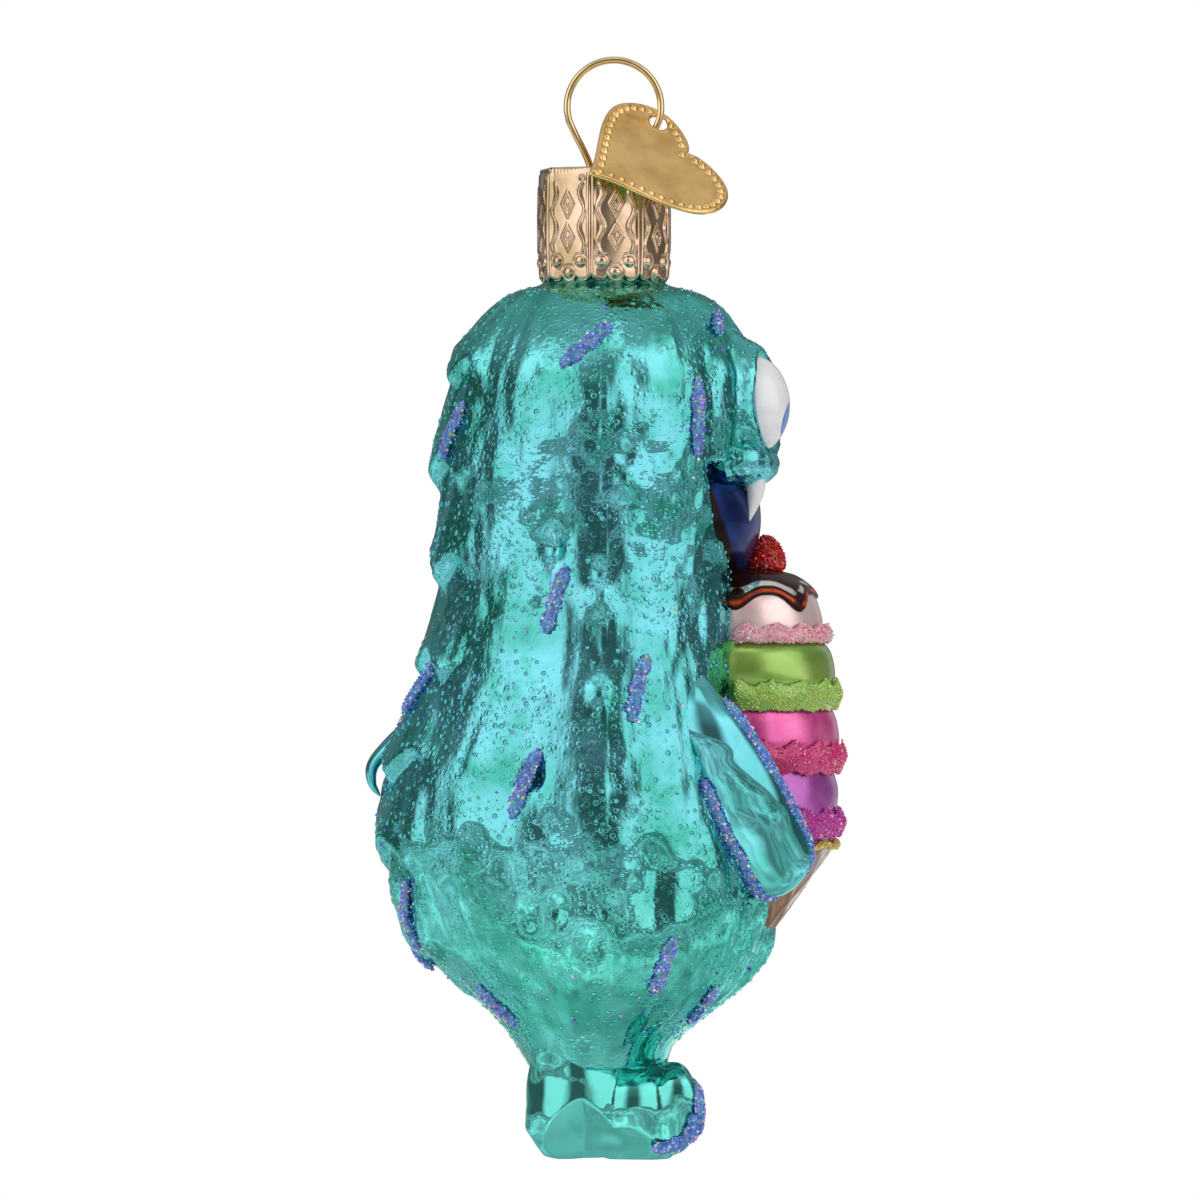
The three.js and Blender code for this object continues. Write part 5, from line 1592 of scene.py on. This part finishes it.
wire_thick = wire_radius * np.sqrt(np.clip(1 - past_end ** 2, 0.05, 1))
wire = skin_object("wire", tube_rings(wire_line, (0.0, 1.0, 0.0), wire_thick, wire_thick, 20))
dress(wire, gold_wire_metal, body="hanger", stands_for=["hanger_wire"])

# %% [markdown]
# ## Heart tag
#
# The tag is stamped from thin sheet: a heart with a row of beads inside its edge and a hole for the wire. A
# filled and beveled curve would give the heart, but not the beads. So one half of its outline is drawn with
# three bent lines and mirrored. It is filled with a net of points, and these are then raised: a soft roll
# along the edge, the beads, and a faint wave of the sheet.

# %% Heart outline
tag_width, tag_height, tag_thick, tag_hole, tag_hole_radius = 16.2, 14.1, 0.35, (-4.7, 4.75), 0.95


def bend_through(a, b, c, d, count):
    """A bent line from a to d, pulled toward b and c; its last point is left to the next line."""
    t = np.linspace(0, 1, count, endpoint=False)[:, None]
    a, b, c, d = (np.array(p, float) for p in (a, b, c, d))
    return (1 - t) ** 3 * a + 3 * t * (1 - t) ** 2 * b + 3 * t * t * (1 - t) * c + t ** 3 * d


def heart_line(count=60):
    """The heart's outline: one half from the notch over the lobe to the point, and its mirror image."""
    half, top, notch, widest = tag_width / 2, tag_height * 0.465, tag_height * 0.37, tag_height * 0.17
    point, low = top - tag_height, widest - tag_height * 0.26
    rising, shoulder = notch + (top - notch) * 0.7, widest + (top - widest) * 0.58
    lobe, side = (-half * 0.5, top), (-half, widest)
    left = np.vstack([
        bend_through((0, notch), (-half * 0.08, rising), (-half * 0.3, top), lobe, count),
        bend_through(lobe, (-half * 0.8, top), (-half, shoulder), side, count),
        bend_through(side, (-half, low), (-half * 0.32, point * 0.52), (0, point), 2 * count),
    ])
    return np.vstack([left, [(0, point)], left[1:][::-1] * np.array([-1, 1])])


def spaced(line, count):
    """So many points at equal distances along a closed line, and the directions toward its inside."""
    closed = np.vstack([line, line[:1]])
    run = np.concatenate([[0], np.cumsum(np.linalg.norm(np.diff(closed, axis=0), axis=1))])
    where = np.arange(count) / count * run[-1]
    points = np.stack([np.interp(where, run, closed[:, k]) for k in (0, 1)], axis=1)
    along = np.roll(points, -1, axis=0) - np.roll(points, 1, axis=0)
    inward = np.stack([-along[:, 1], along[:, 0]], axis=1) / np.linalg.norm(along, axis=1)[:, None]
    return points, inward


rim_count, hole_count, bead_count, bead_inset = 260, 40, 44, 0.80
heart = heart_line()
rim, rim_inward = spaced(heart, rim_count)
bead_places, bead_inward = spaced(heart, bead_count)
bead_places = bead_places + bead_inward * bead_inset
hole_turn = np.linspace(0, 2 * np.pi, hole_count, endpoint=False)
hole_line = np.array(tag_hole) + tag_hole_radius * np.stack([np.cos(hole_turn), np.sin(hole_turn)], axis=1)
print(bead_count, "beads round the heart")

# %% Net of points inside the outline
def nearest(points, targets):
    return np.sqrt(((points[:, None] - targets[None]) ** 2).sum(-1)).min(1)


def inside_line(points, line):
    """Whether each point is inside a closed line, by counting the sides that it passes."""
    a, b = line, np.roll(line, -1, axis=0)
    x, y = points[:, :1], points[:, 1:]
    spans = (a[:, 1] > y) != (b[:, 1] > y)
    rise = np.where(b[:, 1] == a[:, 1], 1.0, b[:, 1] - a[:, 1])
    crossing = a[:, 0] + (y - a[:, 1]) / rise * (b[:, 0] - a[:, 0])
    return (spans & (x < crossing)).sum(1) % 2 == 1


def in_sheet(points):
    return inside_line(points, rim) & ~inside_line(points, hole_line)


def closed_loop(start, count):
    return [(start + i, start + (i + 1) % count) for i in range(count)]


net_step, net_reach, net_low, net_high = 0.15, tag_width / 2, -7.6, 6.6
rim_row, rim_margin, hole_margin = 0.12, 0.22, 0.12
net = np.meshgrid(np.arange(-net_reach, net_reach, net_step), np.arange(net_low, net_high, net_step))
net = np.stack(net, -1).reshape(-1, 2)
net = net[in_sheet(net)]
net = net[(nearest(net, rim) > rim_margin) & (nearest(net, hole_line) > hole_margin)]
flat_points = np.vstack([rim, hole_line, rim + rim_inward * rim_row, net])
loops = closed_loop(0, rim_count) + closed_loop(rim_count, hole_count)
filled = geometry.delaunay_2d_cdt([Vector(p) for p in flat_points], loops, [], 1, 1e-6)
flat_points, flat_faces = np.array([tuple(v) for v in filled[0]]), [tuple(f) for f in filled[2]]
middles = np.array([flat_points[list(f)].mean(0) for f in flat_faces])
flat_faces = [f for f, kept in zip(flat_faces, in_sheet(middles)) if kept]
print(len(flat_points), "points in the net")

# %% Stamping of the tag
edge_drop, back_edge_drop, drop_width = 0.10, 0.08, 0.10
rolled_edge, rolled_inset, rolled_width = 0.10, 0.28, 0.16
bead_rise, bead_radius, back_bead_rise, back_bead_radius = 0.24, 0.33, 0.10, 0.28
bead_moat, bead_moat_radius, bead_moat_width = 0.05, 0.44, 0.10
sheet_wave, wave_direction, wave_start = 0.09, np.array([0.30, 0.52]), 0.6
edge_gap = np.minimum(nearest(flat_points, rim), nearest(flat_points, hole_line))
bead_gap = nearest(flat_points, bead_places)
rolled = rolled_edge * bump_at(edge_gap - rolled_inset, rolled_width)
front = tag_thick / 2 - edge_drop * np.exp(-edge_gap / drop_width) + rolled
moat = bead_moat * bump_at(bead_gap - bead_moat_radius, bead_moat_width)
front = front + bead_rise * round_boss(bead_gap, bead_radius) - moat
front = front - sheet_wave * np.sin(flat_points @ wave_direction + wave_start)
back = -tag_thick / 2 + back_edge_drop * np.exp(-edge_gap / drop_width)
back = back + back_bead_rise * round_boss(bead_gap, back_bead_radius)
print("the tag is up to", round(float((front - back).max()), 2), "mm thick")

# %% Tag mesh, hung on the loop
tag_turn = math.radians(-20)
tag_right = Vector((0.537, -0.48, -0.693)).normalized()
tag_face = tag_right.cross(Vector((0.778, 0.599, 0.188))).normalized()
tag_up = tag_face.cross(tag_right)
tag_hang = np.array([loop_forward + loop_radius * math.cos(tag_turn), 0,
                     loop_height + loop_radius * math.sin(tag_turn)])


def on_tag(lift):
    """The net's points in the figure, each so far off the sheet's middle plane."""
    off = flat_points - np.array(tag_hole)
    return (tag_hang + off[:, :1] * np.array(tag_right) + off[:, 1:] * np.array(tag_up)
            + lift[:, None] * np.array(tag_face))


tag_points = in_row(np.vstack([on_tag(front), on_tag(back)]))
half_count = len(flat_points)
tag_faces = flat_faces + [tuple(i + half_count for i in reversed(f)) for f in flat_faces]
directed = {(f[k], f[(k + 1) % 3]) for f in flat_faces for k in range(3)}
tag_faces += [(b, a, a + half_count, b + half_count) for a, b in directed if (b, a) not in directed]
heart_tag_piece = object_from("tag", tag_points, outward(tag_points, tag_faces))
dress(heart_tag_piece, brushed_gold, body="tag", stands_for=["heart_tag"])

# %% [markdown]
# ## Sizes at the end
#
# Both boxes, of the imported part and of the dressed one, are printed side by side. The dressed
# part may not outgrow the imported one.

# %% Print both boxes
dressed_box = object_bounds()
for label, (low, high) in (("packed", cad_box), ("dressed", dressed_box)):
    print(label, [round((b - a) * 1000, 2) for a, b in zip(low, high)], "mm")
